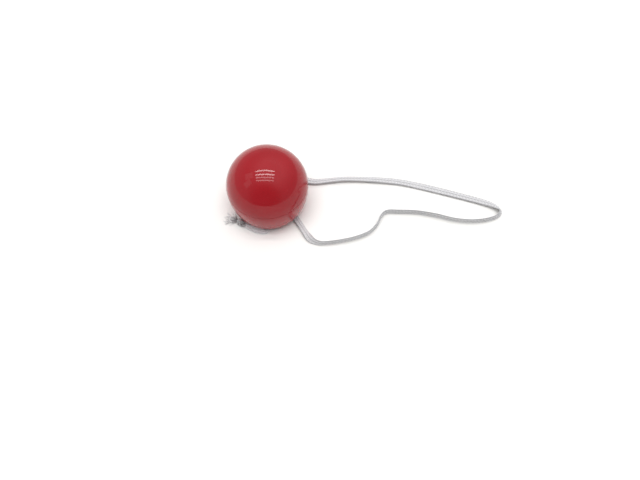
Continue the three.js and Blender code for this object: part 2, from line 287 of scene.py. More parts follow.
class NodePad:
    """Places and links nodes in one shader tree, from left to right."""

    def __init__(self, tree: bpy.types.NodeTree) -> None:
        """Starts on a tree.

        Args:
            tree: the node tree to fill.
        """
        self.tree = tree
        self.placed = 0

    def node(self, kind: str, **settings: object) -> bpy.types.Node:
        """Adds a node and sets its named settings.

        Args:
            kind: the node's type.
            settings: its attributes by name.

        Returns:
            The node.
        """
        made = self.tree.nodes.new(kind)
        made.location = (self.placed % 8 * 200, -(self.placed // 8) * 260)
        self.placed += 1
        for name, value in settings.items():
            setattr(made, name, value)
        return made

    def feed(self, socket: bpy.types.NodeSocket, value: object) -> None:
        """Links a socket to another, or sets its value.

        Args:
            socket: the input to fill.
            value: an output socket, a number, a colour or a vector.
        """
        if isinstance(value, bpy.types.NodeSocket):
            self.tree.links.new(value, socket)
        else:
            socket.default_value = value

    def math(self, operation: str, *values: object, clamp: bool = False) -> bpy.types.NodeSocket:
        """The result of a Math node.

        Args:
            operation: the node's operation.
            values: its one to three inputs, sockets or numbers.
            clamp: whether the result is held to 0..1.

        Returns:
            The result's socket.
        """
        made = self.node("ShaderNodeMath", operation=operation, use_clamp=clamp)
        for socket, value in zip(made.inputs, values):
            self.feed(socket, value)
        return made.outputs[0]

    def noise(self, scale: object, detail: float, vector: bpy.types.NodeSocket) -> bpy.types.NodeSocket:
        """The value of a noise texture.

        Args:
            scale: its scale.
            detail: its detail.
            vector: where it is read.

        Returns:
            The value's socket.
        """
        made = self.node("ShaderNodeTexNoise")
        self.feed(made.inputs["Vector"], vector)
        self.feed(made.inputs["Scale"], scale)
        self.feed(made.inputs["Detail"], detail)
        return made.outputs["Fac"]

    def spread(
        self, value: object, low: float, high: float, to_low: float, to_high: float
    ) -> bpy.types.NodeSocket:
        """A value mapped smoothly from one range to another, and held at its ends.

        Args:
            value: the socket or number to map.
            low: where the first range starts.
            high: where the first range ends.
            to_low: the result up to low.
            to_high: the result from high.

        Returns:
            The result's socket.
        """
        made = self.node("ShaderNodeMapRange", interpolation_type="SMOOTHSTEP")
        for socket, number in zip(made.inputs, (value, low, high, to_low, to_high)):
            self.feed(socket, number)
        return made.outputs["Result"]

    def blend(self, mask: object, a: object, b: object) -> bpy.types.NodeSocket:
        """A colour between two.

        Args:
            mask: 0 for colour a, 1 for colour b.
            a: the first colour.
            b: the second colour.

        Returns:
            The result's socket.
        """
        made = self.node("ShaderNodeMix", data_type="RGBA")
        self.feed(made.inputs["Factor"], mask)
        self.feed(made.inputs["A"], a)
        self.feed(made.inputs["B"], b)
        return made.outputs["Result"]

    def bump(self, height: object, distance: float) -> bpy.types.NodeSocket:
        """A normal pushed about by a height.

        Args:
            height: the height, from 0 to 1.
            distance: its full rise, in metres.

        Returns:
            The normal's socket.
        """
        made = self.node("ShaderNodeBump")
        self.feed(made.inputs["Strength"], 1.0)
        self.feed(made.inputs["Distance"], distance)
        self.feed(made.inputs["Height"], height)
        return made.outputs["Normal"]

    def dot(self, vector: bpy.types.NodeSocket, axis: tuple[float, float, float]) -> bpy.types.NodeSocket:
        """The dot product of a vector with an axis.

        Args:
            vector: the vector's socket.
            axis: the axis.

        Returns:
            The product's socket.
        """
        made = self.node("ShaderNodeVectorMath", operation="DOT_PRODUCT")
        self.feed(made.inputs[0], vector)
        self.feed(made.inputs[1], axis)
        return made.outputs["Value"]

    def group(self, tree: bpy.types.NodeTree, **values: object) -> bpy.types.Node:
        """Places a node group and sets or links its inputs.

        Args:
            tree: the group's tree.
            values: its inputs by name, sockets or numbers.

        Returns:
            The group's node.
        """
        made = self.node("ShaderNodeGroup", node_tree=tree)
        for name, value in values.items():
            self.feed(made.inputs[name], value)
        return made


def new_group(name: str, inputs: dict[str, tuple[str, object]], outputs: dict[str, str]) -> tuple:
    """An empty shader group with named sockets.

    Args:
        name: the group's name.
        inputs: socket name to its kind and starting value.
        outputs: socket name to its kind.

    Returns:
        The group's tree, a pad on it, its input node and its output node.
    """
    tree = bpy.data.node_groups.new(name, "ShaderNodeTree")
    for label, (kind, value) in inputs.items():
        socket = tree.interface.new_socket(label, in_out="INPUT", socket_type=kind)
        if value is not None:
            socket.default_value = value
    for label, kind in outputs.items():
        tree.interface.new_socket(label, in_out="OUTPUT", socket_type=kind)
    pad = NodePad(tree)
    return tree, pad, pad.node("NodeGroupInput"), pad.node("NodeGroupOutput")


@functools.cache
def handling_marks() -> bpy.types.NodeTree:
    """Group: marks of handling on a moulded surface.

    Smears is broad soft cloudiness from fingers. Scratches is fine hairlines, where noises stretched in
    three directions cross a narrow level in the smeared patches. Specks is tiny grains of dust, where the
    distance to scattered cell points is small.

    Returns:
        The group's tree.
    """
    tree, pad, given, result = new_group(
        "handling_marks",
        {"Vector": ("NodeSocketVector", None), "Scale": ("NodeSocketFloat", 100.0)},
        {"Smears": "NodeSocketFloat", "Scratches": "NodeSocketFloat", "Specks": "NodeSocketFloat"},
    )
    vector, scale = given.outputs["Vector"], given.outputs["Scale"]
    smears = pad.noise(scale, 3.0, vector)
    pad.feed(result.inputs["Smears"], pad.spread(smears, 0.4, 0.75, 0.0, 1.0))
    lines = []
    for turn, stretch in ((0.5, 18.0), (-1.1, 23.0), (1.9, 14.0)):
        mapping = pad.node("ShaderNodeMapping")
        pad.feed(mapping.inputs["Vector"], vector)
        mapping.inputs["Rotation"].default_value = (turn, turn / 2, turn)
        mapping.inputs["Scale"].default_value = (1.0, stretch, 1.0)
        stretched = pad.noise(scale, 1.0, mapping.outputs["Vector"])
        level = pad.math("ABSOLUTE", pad.math("SUBTRACT", stretched, 0.5))
        lines.append(pad.spread(level, 0.0, 0.006, 1.0, 0.0))
    crossed = pad.math("MAXIMUM", pad.math("MAXIMUM", lines[0], lines[1]), lines[2])
    handled = pad.spread(smears, 0.45, 0.6, 0.0, 1.0)
    pad.feed(result.inputs["Scratches"], pad.math("MULTIPLY", crossed, handled))
    cells = pad.node("ShaderNodeTexVoronoi")
    pad.feed(cells.inputs["Vector"], vector)
    pad.feed(cells.inputs["Scale"], pad.math("MULTIPLY", scale, 9.0))
    pad.feed(result.inputs["Specks"], pad.spread(cells.outputs["Distance"], 0.03, 0.09, 1.0, 0.0))
    return tree


@functools.cache
def braid() -> bpy.types.NodeTree:
    """Group: the braid of a flat elastic, on a UV map with U across its width and V along it in widths.

    Each rib's threads slant the other way from its neighbour's, which gives a herringbone. A thread's
    height is the sine of its phase: V times the thread count, plus the slant times the place in the rib.
    Valley is 1 in the grooves between ribs and Thread is the height of the threads; both give painted shade.
    Line, which gives painted shade too, is 1 along both selvedges, less at the very edge, and 0.8 along the
    middle.

    Returns:
        The group's tree.
    """
    tree, pad, given, result = new_group(
        "braid",
        {
            "UV": ("NodeSocketVector", None),
            "Ribs": ("NodeSocketFloat", 5.0),
            "Threads": ("NodeSocketFloat", 9.0),
            "Slant": ("NodeSocketFloat", 1.2),
        },
        {"Valley": "NodeSocketFloat", "Line": "NodeSocketFloat", "Thread": "NodeSocketFloat"},
    )
    split = pad.node("ShaderNodeSeparateXYZ")
    pad.feed(split.inputs[0], given.outputs["UV"])
    across = pad.math("MULTIPLY", split.outputs["X"], given.outputs["Ribs"])
    place = pad.math("SUBTRACT", pad.math("FRACT", across), 0.5)
    odd_rib = pad.math("FLOORED_MODULO", pad.math("FLOOR", across), 2.0)
    turn = pad.math("SUBTRACT", pad.math("MULTIPLY", odd_rib, 2.0), 1.0)
    slope = pad.math("MULTIPLY", pad.math("MULTIPLY", place, turn), given.outputs["Slant"])
    along = pad.math("MULTIPLY", split.outputs["Y"], given.outputs["Threads"])
    phase = pad.math("MULTIPLY", pad.math("ADD", along, slope), TAU)
    wave = pad.math("SINE", phase)
    pad.feed(result.inputs["Thread"], pad.math("MULTIPLY_ADD", wave, 0.5, 0.5))
    pad.feed(result.inputs["Valley"], pad.spread(pad.math("ABSOLUTE", place), 0.3, 0.5, 0.0, 1.0))
    aside = pad.math("ABSOLUTE", pad.math("SUBTRACT", split.outputs["X"], 0.5))
    inner_edge = pad.spread(aside, 0.38, 0.42, 0.0, 1.0)
    outer_fade = pad.spread(aside, 0.46, 0.49, 1.0, 0.3)
    selvedge = pad.math("MULTIPLY", inner_edge, outer_fade)
    middle = pad.spread(aside, 0.03, 0.09, 0.8, 0.0)
    pad.feed(result.inputs["Line"], pad.math("MAXIMUM", selvedge, middle))
    return tree


def start_material(name: str) -> tuple[bpy.types.Material, NodePad, bpy.types.Node]:
    """A new node material.

    Args:
        name: the material's name.

    Returns:
        The material, a pad on its tree and its Principled shader.
    """
    material = bpy.data.materials.new(name)
    material.use_nodes = True
    return material, NodePad(material.node_tree), material.node_tree.nodes["Principled BSDF"]


@dataclass(frozen=True)
class MouldedPlastic:
    """Moulded plastic: a body colour that thins in patches, gloss dulled by handling, a slight ripple.

    Args:
        name: the material's name.
        colour: body colour, linear.
        pale: colour of its thinner patches, linear.
        gloss: roughness where it is clean.
        dulled: roughness where it has been handled.
        ripple: height of the moulding ripple, in metres.
        scratch: depth of the hairlines, in metres.
        shine: specular level of the surface.
        dust: colour of dust, linear.
        dust_share: share of the body colour that a speck hides.
        marks_scale: scale of the marks of handling.
        patch_scale: scale of the thinner patches.
        ripple_scale: scale of the ripple.
    """

    name: str
    colour: tuple[float, float, float]
    pale: tuple[float, float, float]
    gloss: float
    dulled: float
    ripple: float
    scratch: float
    shine: float = 0.5
    dust: tuple[float, float, float] = (0.6, 0.55, 0.52)
    dust_share: float = 0.12
    marks_scale: float = 70.0
    patch_scale: float = 55.0
    ripple_scale: float = 320.0

    def material(self) -> bpy.types.Material:
        """Builds the material on Object coordinates.

        Returns:
            The material.
        """
        material, pad, shader = start_material(self.name)
        place = pad.node("ShaderNodeTexCoord").outputs["Object"]
        marks = pad.group(handling_marks(), Vector=place, Scale=self.marks_scale)
        patches = pad.spread(pad.noise(self.patch_scale, 2.0, place), 0.35, 0.7, 0.0, 1.0)
        body = pad.blend(patches, (*self.colour, 1), (*self.pale, 1))
        dusty = pad.math("MULTIPLY", marks.outputs["Specks"], self.dust_share)
        pad.feed(shader.inputs["Base Color"], pad.blend(dusty, body, (*self.dust, 1)))
        smeared = pad.math("MULTIPLY", marks.outputs["Smears"], 0.6)
        worn = pad.math("MAXIMUM", smeared, marks.outputs["Scratches"])
        pad.feed(shader.inputs["Roughness"], pad.spread(worn, 0.0, 1.0, self.gloss, self.dulled))
        ripple = pad.math("MULTIPLY", pad.noise(self.ripple_scale, 1.0, place), self.ripple / MM)
        grooves = pad.math("MULTIPLY", marks.outputs["Scratches"], -self.scratch / MM)
        pad.feed(shader.inputs["Normal"], pad.bump(pad.math("ADD", ripple, grooves), MM))
        shader.inputs["Specular IOR Level"].default_value = self.shine
        return material


@dataclass(frozen=True)
class BraidedElastic:
    """White braided elastic: yarn over rubber cores, painted shade in its grooves and lines, and a little
    soiled.

    Args:
        name: the material's name.
        yarn: colour of the yarn on the crown of a rib, linear.
        groove: colour of the painted shade in the grooves, hollows and lines, linear.
        soil: colour of soiled patches, linear.
        ribs: ribs across the width.
        threads: threads along one width of the band.
        relief: height of the threads, in metres.
        painted_light_from: V from which the band, in the ball's shade by the knot, is painted lighter, or
            None.
        painted_light_share: share of the braid's painted shade that is left where it is painted lighter.
        valley_shade: how much shade is painted in the grooves between the ribs.
        line_shade: how much shade is painted along the selvedges and the middle.
        thread_shade: how much shade is painted in the hollows between the threads.
        fibre_scale: scale of the fibres.
        soil_scale: scale of the soiled patches.
        sheen: sheen of the yarn.
        shine: specular level of the surface.
    """

    name: str
    yarn: tuple[float, float, float]
    groove: tuple[float, float, float]
    soil: tuple[float, float, float]
    ribs: float
    threads: float
    relief: float
    painted_light_from: float | None = None
    painted_light_share: float = 0.4
    valley_shade: float = 0.4
    line_shade: float = 0.9
    thread_shade: float = 0.5
    fibre_scale: float = 2600.0
    soil_scale: float = 60.0
    sheen: float = 0.15
    shine: float = 0.25

    def material(self) -> bpy.types.Material:
        """Builds the material on the piece's own UV map.

        Returns:
            The material.
        """
        material, pad, shader = start_material(self.name)
        coordinates = pad.node("ShaderNodeTexCoord")
        place = coordinates.outputs["Object"]
        weave = pad.group(braid(), UV=coordinates.outputs["UV"], Ribs=self.ribs, Threads=self.threads)
        fibre = pad.noise(self.fibre_scale, 2.0, place)
        # Painted shade: grooves, hollows between threads and the selvedge and middle lines darken towards the
        # groove colour.
        depth = pad.math("MULTIPLY", pad.math("SUBTRACT", 1.0, weave.outputs["Thread"]), self.thread_shade)
        valley = pad.math("MULTIPLY", weave.outputs["Valley"], self.valley_shade)
        shade = pad.math("MAXIMUM", valley, depth)
        line = pad.math("MULTIPLY", weave.outputs["Line"], self.line_shade)
        shade = pad.math("MAXIMUM", line, shade)
        # Painted light: the stretch in the ball's shade keeps less of the braid's painted shade.
        if self.painted_light_from is not None:
            split = pad.node("ShaderNodeSeparateXYZ")
            pad.feed(split.inputs[0], coordinates.outputs["UV"])
            painted_light = pad.spread(split.outputs["Y"], self.painted_light_from, self.painted_light_from + 1, 1.0, self.painted_light_share)
            shade = pad.math("MULTIPLY", shade, painted_light)
        shade = pad.math("MULTIPLY_ADD", pad.math("SUBTRACT", fibre, 0.5), 0.5, shade, clamp=True)
        yarn = pad.blend(shade, (*self.yarn, 1), (*self.groove, 1))
        soiled = pad.spread(pad.noise(self.soil_scale, 3.0, place), 0.45, 0.8, 0.0, 0.5)
        pad.feed(shader.inputs["Base Color"], pad.blend(soiled, yarn, (*self.soil, 1)))
        pad.feed(shader.inputs["Roughness"], pad.spread(fibre, 0.3, 0.7, 0.7, 0.92))
        grooved = pad.math("MULTIPLY", weave.outputs["Valley"], -1.0)
        ribbed = pad.math("ADD", weave.outputs["Thread"], grooved)
        height = pad.math("ADD", ribbed, pad.math("MULTIPLY", fibre, 0.4))
        pad.feed(shader.inputs["Normal"], pad.bump(height, self.relief))
        shader.inputs["Sheen Weight"].default_value = self.sheen
        shader.inputs["Specular IOR Level"].default_value = self.shine
        return material


@dataclass(frozen=True)
class LooseThread:
    """Loose yarn and bare rubber of a frayed end: whiter at the tips, painted in shade towards the root.

    Args:
        name: the material's name.
        tip: colour of the yarn at the tips, linear.
        root: colour of the painted shade at the root, linear.
    """

    name: str
    tip: tuple[float, float, float]
    root: tuple[float, float, float]

    def material(self) -> bpy.types.Material:
        """Builds the material on the strands' UV map, with V from root to tip.

        Returns:
            The material.
        """
        material, pad, shader = start_material(self.name)
        coordinates = pad.node("ShaderNodeTexCoord")
        split = pad.node("ShaderNodeSeparateXYZ")
        pad.feed(split.inputs[0], coordinates.outputs["UV"])
        # Painted shade: the strands darken from the tips towards the root by the knot.
        out_of_painted_shade = pad.spread(split.outputs["Y"], 0.05, 0.6, 0.0, 1.0)
        mottle = pad.spread(pad.noise(900.0, 2.0, coordinates.outputs["Object"]), 0.35, 0.65, 0.45, 1.0)
        mask = pad.math("MULTIPLY", out_of_painted_shade, mottle)
        pad.feed(shader.inputs["Base Color"], pad.blend(mask, (*self.root, 1), (*self.tip, 1)))
        twist = pad.math("SINE", pad.math("MULTIPLY_ADD", split.outputs["Y"], 90.0, split.outputs["X"]))
        pad.feed(shader.inputs["Normal"], pad.bump(twist, 0.03 * MM))
        shader.inputs["Roughness"].default_value = 0.85
        shader.inputs["Specular IOR Level"].default_value = 0.25
        return material


@dataclass(frozen=True)
class TablePaper:
    """Plain white table paper under the object.

    Args:
        name: the material's name.
        colour: its colour, linear.
        tooth: brightness of the darkest grain of the paper, as a share.
    """

    name: str
    colour: tuple[float, float, float]
    tooth: float = 0.985

    def material(self) -> bpy.types.Material:
        """Builds the material on Object coordinates.

        Returns:
            The material.
        """
        material, pad, shader = start_material(self.name)
        place = pad.node("ShaderNodeTexCoord").outputs["Object"]
        grain = pad.noise(1500.0, 3.0, place)
        darker = tuple(self.tooth * level for level in self.colour)
        pad.feed(shader.inputs["Base Color"], pad.blend(grain, (*self.colour, 1), (*darker, 1)))
        pad.feed(shader.inputs["Normal"], pad.bump(grain, 0.02 * MM))
        shader.inputs["Roughness"].default_value = 0.8
        shader.inputs["Specular IOR Level"].default_value = 0.2
        return material


RED_PLASTIC = MouldedPlastic(
    name="red_gloss_plastic",
    colour=(0.32, 0.009, 0.0145),
    pale=(0.345, 0.011, 0.0175),
    gloss=0.03,
    dulled=0.08,
    ripple=0.0004 * MM,
    scratch=0.001 * MM,
    shine=0.32,
)
CASE_PLASTIC = MouldedPlastic(
    name="case_plastic",
    colour=(0.62, 0.62, 0.60),
    pale=(0.68, 0.68, 0.65),
    gloss=0.38,
    dulled=0.55,
    ripple=0.004 * MM,
    scratch=0.004 * MM,
)
LAMP_PLASTIC = MouldedPlastic(
    name="lamp_plastic",
    colour=(0.55, 0.12, 0.1),
    pale=(0.62, 0.16, 0.13),
    gloss=0.08,
    dulled=0.16,
    ripple=0.001 * MM,
    scratch=0.001 * MM,
)
WHITE_ELASTIC = BraidedElastic(
    name="white_braided_elastic",
    yarn=(0.84, 0.836, 0.85),
    # painted shade in the grooves, hollows and lines
    groove=(0.22, 0.218, 0.225),
    soil=(0.70, 0.695, 0.70),
    ribs=4.0,
    threads=2.4,
    relief=0.09 * MM,
    # painted light on the last stretch, which lies in the ball's shade
    painted_light_from=59.5,
)
# Painted shade: the white elastic painted darker for the knots and their runs, which lie in shade.
SHADED_KNOT_ELASTIC = BraidedElastic(
    name="shaded_knot_elastic",
    yarn=(0.62, 0.61, 0.62),
    groove=(0.2, 0.2, 0.2),
    soil=(0.3, 0.3, 0.29),
    ribs=3.0,
    threads=3.0,
    relief=0.06 * MM,
)
# The root colour is painted shade by the knot.
FRAYED_YARN = LooseThread(name="frayed_yarn", tip=(0.95, 0.94, 0.945), root=(0.2, 0.19, 0.195))
FLOOR_PAPER = TablePaper(name="table_paper", colour=(0.93, 0.923, 0.90))


# The view


@dataclass(frozen=True)
class PhotoCamera:
    """The camera: its place is given from the ball's middle, and it looks along +Y, tipped down.

    Args:
        ball_middle: height of the ball's middle.
        distance: from the ball's middle to the camera.
        elevation: angle of that line above the surface, in degrees.
        swing: turn of that line about +Z from straight before the ball, in degrees.
        tip: how far the camera looks down, in degrees.
        focal_pixels: focal length in pixels of the image.
        image_width: width of the image in pixels.
        film_width: width of the film in millimetres.
    """

    ball_middle: float = BALL_MIDDLE
    distance: float = 300 * MM
    elevation: float = 57.0
    swing: float = 10.4336
    tip: float = 63.316
    focal_pixels: float = 527.73
    image_width: int = 640
    film_width: float = 36.0

    def place(self) -> None:
        """Creates the camera and makes it the scene's."""
        lens = bpy.data.cameras.new("photo_camera")
        lens.sensor_width = self.film_width
        lens.lens = self.focal_pixels / self.image_width * self.film_width
        lens.clip_start = 10 * MM
        camera = bpy.data.objects.new("photo_camera", lens)
        rise = math.radians(self.elevation)
        arm = Vector((0, -self.distance * math.cos(rise), self.distance * math.sin(rise)))
        middle = Vector((0, 0, self.ball_middle))
        camera.location = Matrix.Rotation(math.radians(self.swing), 3, "Z") @ arm + middle
        camera.rotation_euler = (math.radians(90 - self.tip), 0, 0)
        bpy.context.scene.collection.objects.link(camera)
        bpy.context.scene.camera = camera


@dataclass(frozen=True)
class Lamp:
    """A rectangular lamp.

    Args:
        name: its name.
        place: where its middle is.
        size: its width and height.
        watts: its power.
        target: the point that it faces, or None for straight down.
    """

    name: str
    place: tuple[float, float, float]
    size: tuple[float, float]
    watts: float
    target: tuple[float, float, float] | None = None

    def hang(self) -> None:
        """Creates the lamp, facing its target."""
        light = bpy.data.lights.new(self.name, "AREA")
        light.shape = "RECTANGLE"
        light.size, light.size_y = self.size
        light.energy = self.watts
        lamp = bpy.data.objects.new(self.name, light)
        lamp.location = self.place
        if self.target is not None:
            sight = Vector(self.target) - Vector(self.place)
            lamp.rotation_euler = sight.to_track_quat("-Z", "Y").to_euler()
        bpy.context.scene.collection.objects.link(lamp)


@dataclass(frozen=True)
class Studio:
    """Table, ceiling tubes, a dim window at the left and the room round them.

    Args:
        tubes: distance of each ceiling tube behind the ball, and its power.
        tube_size: length and width of a tube.
        tube_shift: how far the tubes' middles lie to the left.
        ceiling: height of the tubes.
        panes: place of each window pane.
        pane_size: width and height of a pane.
        pane_watts: power of a pane.
        aim: the point that the panes face.
        floor_side: half the side of the table.
        overhead: the direction of the bright part of the room.
        stops: brightness by direction: place from 0, away from overhead, to 1, towards it, and level.
        blue: blue of the room over its red.
        person: the direction of whoever stands before the table.
        person_edge: dot products with that direction where their soft edge starts and ends.
        person_level: how bright they are.
    """

    tubes: tuple[tuple[float, float], ...] = ((0.33, 10.2), (-0.08, 10.6), (-0.40, 4.6), (-0.73, 4.2))
    tube_size: tuple[float, float] = (2.0, 0.14)
    tube_shift: float = 0.06
    ceiling: float = 2.2
    panes: tuple[tuple[float, float, float], ...] = ((-1.18, -0.44, 0.95), (-1.10, 0.0, 1.15))
    pane_size: tuple[float, float] = (0.4, 0.6)
    pane_watts: float = 0.45
    aim: tuple[float, float, float] = (0.0, 0.0, BALL_MIDDLE)
    floor_side: float = 1.2
    overhead: tuple[float, float, float] = (0.25, 0.2, 0.947)
    stops: tuple[tuple[float, float], ...] = (
        (0.40, 0.58),
        (0.62, 0.52),
        (0.74, 0.50),
        (0.86, 0.74),
        (0.94, 1.06),
    )
    blue: float = 1.01
    person: tuple[float, float, float] = (-0.05, -0.93, 0.36)
    person_edge: tuple[float, float] = (0.6, 0.95)
    person_level: float = 0.18

    def lamps(self) -> list[Lamp]:
        """The lamps of the room.

        Returns:
            The tubes, from behind the ball forwards, and the window panes.
        """
        tubes = [
            Lamp(f"tube_{number}", (-self.tube_shift, behind, self.ceiling), self.tube_size, watts)
            for number, (behind, watts) in enumerate(self.tubes)
        ]
        panes = [
            Lamp(f"pane_{number}", place, self.pane_size, self.pane_watts, self.aim)
            for number, place in enumerate(self.panes)
        ]
        return tubes + panes

    def room(self) -> None:
        """The world: about half grey round the horizon and bright overhead.

        Brightness follows the direction's dot product with a slanted axis, through a ramp. Whoever stands
        before the table is a soft dark spot, where the direction's dot product with theirs is near 1.
        """
        world = bpy.data.worlds.new("room")
        world.use_nodes = True
        bpy.context.scene.world = world
        pad = NodePad(world.node_tree)
        direction = pad.node("ShaderNodeTexCoord").outputs["Generated"]
        upward = pad.dot(direction, self.overhead)
        ramp = pad.node("ShaderNodeValToRGB")
        pad.feed(ramp.inputs["Fac"], pad.math("MULTIPLY_ADD", upward, 0.5, 0.5))
        ramp.color_ramp.elements[0].position = self.stops[0][0]
        ramp.color_ramp.elements[1].position = self.stops[-1][0]
        for at, _ in self.stops[1:-1]:
            ramp.color_ramp.elements.new(at)
        for element, (_, level) in zip(ramp.color_ramp.elements, self.stops):
            element.color = (level, level, level * self.blue, 1)
        dark = pad.spread(pad.dot(direction, self.person), *self.person_edge, 0.0, 1.0)
        shade = (*[self.person_level] * 3, 1)
        background = world.node_tree.nodes["Background"]
        pad.feed(background.inputs["Color"], pad.blend(dark, ramp.outputs["Color"], shade))
        background.inputs["Strength"].default_value = 1.0

    def build(self) -> None:
        """Creates the floor, the lights and the room, and sets plain colour handling."""
        side = self.floor_side
        corners = np.array([(-side, -side, 0), (side, -side, 0), (side, side, 0), (-side, side, 0)])
        floor = make_piece("table", Patch(corners, np.array([[0, 1, 2, 3]])))
        floor.data.materials.append(FLOOR_PAPER.material())
        for lamp in self.lamps():
            lamp.hang()
        self.room()
        bpy.context.scene.view_settings.view_transform = "Standard"


# The elastic


# Route of the band from the right tie hole to the end knot, in metres. Lean turns the band about its length:
# 0 lies flat, -90 stands on edge. Spread is the share of its full width that the band is opened to.
BAND_ROUTE = [
    # x, y, z, lean, spread
    (0.0139, 0.0130, 0.0034, 0, 0.38),
    (0.0159, 0.0146, 0.00325, 0, 0.42),
    (0.0188, 0.0148, 0.0024, -4, 0.75),
    (0.0222, 0.0136, 0.0014, -9, 0.95),
    (0.0270, 0.0130, 0.0011, -14, 1),
    (0.0345, 0.0137, 0.0013, -20, 1),
    (0.0435, 0.0147, 0.0014, -22, 1),
    (0.0540, 0.0147, 0.0013, -19, 1),
    (0.0655, 0.0141, 0.0011, -15, 1),
    (0.0770, 0.0128, 0.0009, -9, 1),
    (0.0880, 0.0103, 0.0008, -5, 1),
    (0.1040, 0.0057, 0.0008, -5, 1),
    (0.1190, 0.0010, 0.0009, -8, 1),
    (0.1270, -0.0018, 0.0012, -14, 1),
    (0.1322, -0.0046, 0.0017, -30, 1),
    (0.1344, -0.0082, 0.00235, -56, 1),
    (0.1314, -0.0119, 0.0026, -80, 1),
    (0.1244, -0.0142, 0.0028, -88, 1),
    (0.1160, -0.0150, 0.003, -90, 1),
    (0.1065, -0.0140, 0.003, -90, 1),
    (0.0965, -0.0112, 0.0029, -90, 1),
    (0.0860, -0.0090, 0.0026, -90, 1),
    (0.0755, -0.0085, 0.0025, -90, 1),
    (0.0684, -0.0086, 0.0025, -88, 1),
    (0.0649, -0.0116, 0.0025, -84, 1),
    (0.0623, -0.0171, 0.0026, -84, 1),
    (0.0572, -0.0224, 0.0028, -88, 1),
    (0.0485, -0.0261, 0.003, -90, 1),
    (0.0385, -0.0282, 0.0029, -90, 1),
    (0.0300, -0.0289, 0.00265, -84, 1),
    (0.0249, -0.0267, 0.0022, -50, 0.97),
    (0.0213, -0.0217, 0.0012, 14, 0.9),
    (0.0178, -0.0157, 0.00095, 14, 0.88),
    (0.0142, -0.0107, 0.0006, 3, 0.92),
    (0.0084, -0.0096, 0.0005, 0, 1),
    (0.0022, -0.0138, 0.0005, 0, 0.86),
    (-0.0012, -0.0198, 0.0007, -4, 0.82),
    (-0.0053, -0.0201, 0.00095, -15, 0.8),
    (-0.0098, -0.0186, 0.001, -15, 0.7),
    (-0.0135, -0.0167, 0.001, -10, 0.55),
]


def through_rows(rows: np.ndarray, steps: int) -> np.ndarray:
    """Catmull-Rom curve through the rows of a table.

    Between rows b and c, with a before them and d after, a point is b + t/2 (c - a + t (2a - 5b + 4c - d +
    t (3(b - c) + d - a))). End rows stand in for the rows beyond them.

    Args:
        rows: the table, one row a point.
        steps: points for each span.

    Returns:
        The curve's rows, with the same columns.
    """
    padded = np.concatenate([rows[:1], rows, rows[-1:]])
    a, b, c, d = (padded[k : len(padded) - 3 + k, None, :] for k in range(4))
    t = (np.arange(steps) / steps)[None, :, None]
    curve = b + 0.5 * t * (c - a + t * (2 * a - 5 * b + 4 * c - d + t * (3 * (b - c) + d - a)))
    return np.concatenate([curve.reshape(-1, rows.shape[1]), rows[-1:]])


def respaced(curve: np.ndarray, pitch: float) -> np.ndarray:
    """A curve's rows set at an even pitch along its first three columns.

    Args:
        curve: the curve's rows.
        pitch: distance between the new rows.

    Returns:
        The new rows, with the same columns.
    """
    run = np.concatenate([[0], np.cumsum(np.linalg.norm(np.diff(curve[:, :3], axis=0), axis=1))])
    at = np.linspace(0, run[-1], max(int(run[-1] / pitch), 2))
    return np.stack([np.interp(at, run, column) for column in curve.T], axis=1)


@dataclass(frozen=True)
class BandSection:
    """Section of a flat braided elastic: two ribbed faces with rounded selvedges.

    Args:
        width: full width.
        thickness: thickness at the crown of a rib.
        ribs: ribs across the width.
        groove: depth of a groove between ribs, as a share of half the thickness.
        samples: points across one face.
        crowding: how far the points crowd towards the selvedges, from 0 for evenly to 1.
    """

    width: float
    thickness: float
    ribs: int
    groove: float
    samples: int
    crowding: float = 0.94

    def outline(self) -> tuple[np.ndarray, np.ndarray]:
        """The section's points.

        At share u of the half width, the face stands at half the thickness times (1 - u^8)^(1/2), less the
        groove times 1 - |sin|^(1/2) of the rib phase.

        Returns:
            The closed outline as across and through pairs, and each point's U from 0 to 1 across the width.
        """
        reach = math.pi / 2 * self.crowding
        u = np.sin(np.linspace(-1, 1, self.samples) * reach) / math.sin(reach)
        crown = np.sqrt(np.abs(np.sin(math.pi * self.ribs * (u + 1) / 2)))
        rise = np.sqrt(np.clip(1 - u**8, 0, 1)) * (1 - self.groove * (1 - crown))
        rise = np.where(np.abs(u) > 0.999, 0.0, rise) * self.thickness / 2
        across = u * self.width / 2
        lower = np.stack([across, -rise], axis=1)
        upper = np.stack([across, rise], axis=1)[::-1][1:-1]
        share = np.concatenate([(u + 1) / 2, ((u + 1) / 2)[::-1][1:-1]])
        return np.concatenate([lower, upper]), share


BAND_SECTION = BandSection(width=4.5 * MM, thickness=0.7 * MM, ribs=4, groove=0.45, samples=42)
DRAWN_SECTION = BandSection(width=1.9 * MM, thickness=0.6 * MM, ribs=3, groove=0.4, samples=20)
LEAD_SECTION = BandSection(width=2.4 * MM, thickness=0.65 * MM, ribs=3, groove=0.4, samples=20)


def swept_band(rows: np.ndarray, section: BandSection) -> Patch:
    """The section carried along a table of centre, lean and spread.

    At each row the level direction is Z x along, the upright is along x level, and the width lies at the
    lean between them. Points are centre + width direction * across * spread + through direction * through.

    Args:
        rows: columns x, y, z, lean in degrees and spread.
        section: the band's section.

    Returns:
        A closed patch with U across the width and V along it, in widths.
    """
    centre, lean, spread = rows[:, :3], np.radians(rows[:, 3]), rows[:, 4]
    along = unit(np.gradient(centre, axis=0))
    level = unit(np.cross([0.0, 0.0, 1.0], along))
    upright = np.cross(along, level)
    wide = np.cos(lean)[:, None] * level + np.sin(lean)[:, None] * upright
    return swept_section(centre, wide, along, section, spread, looped=False)


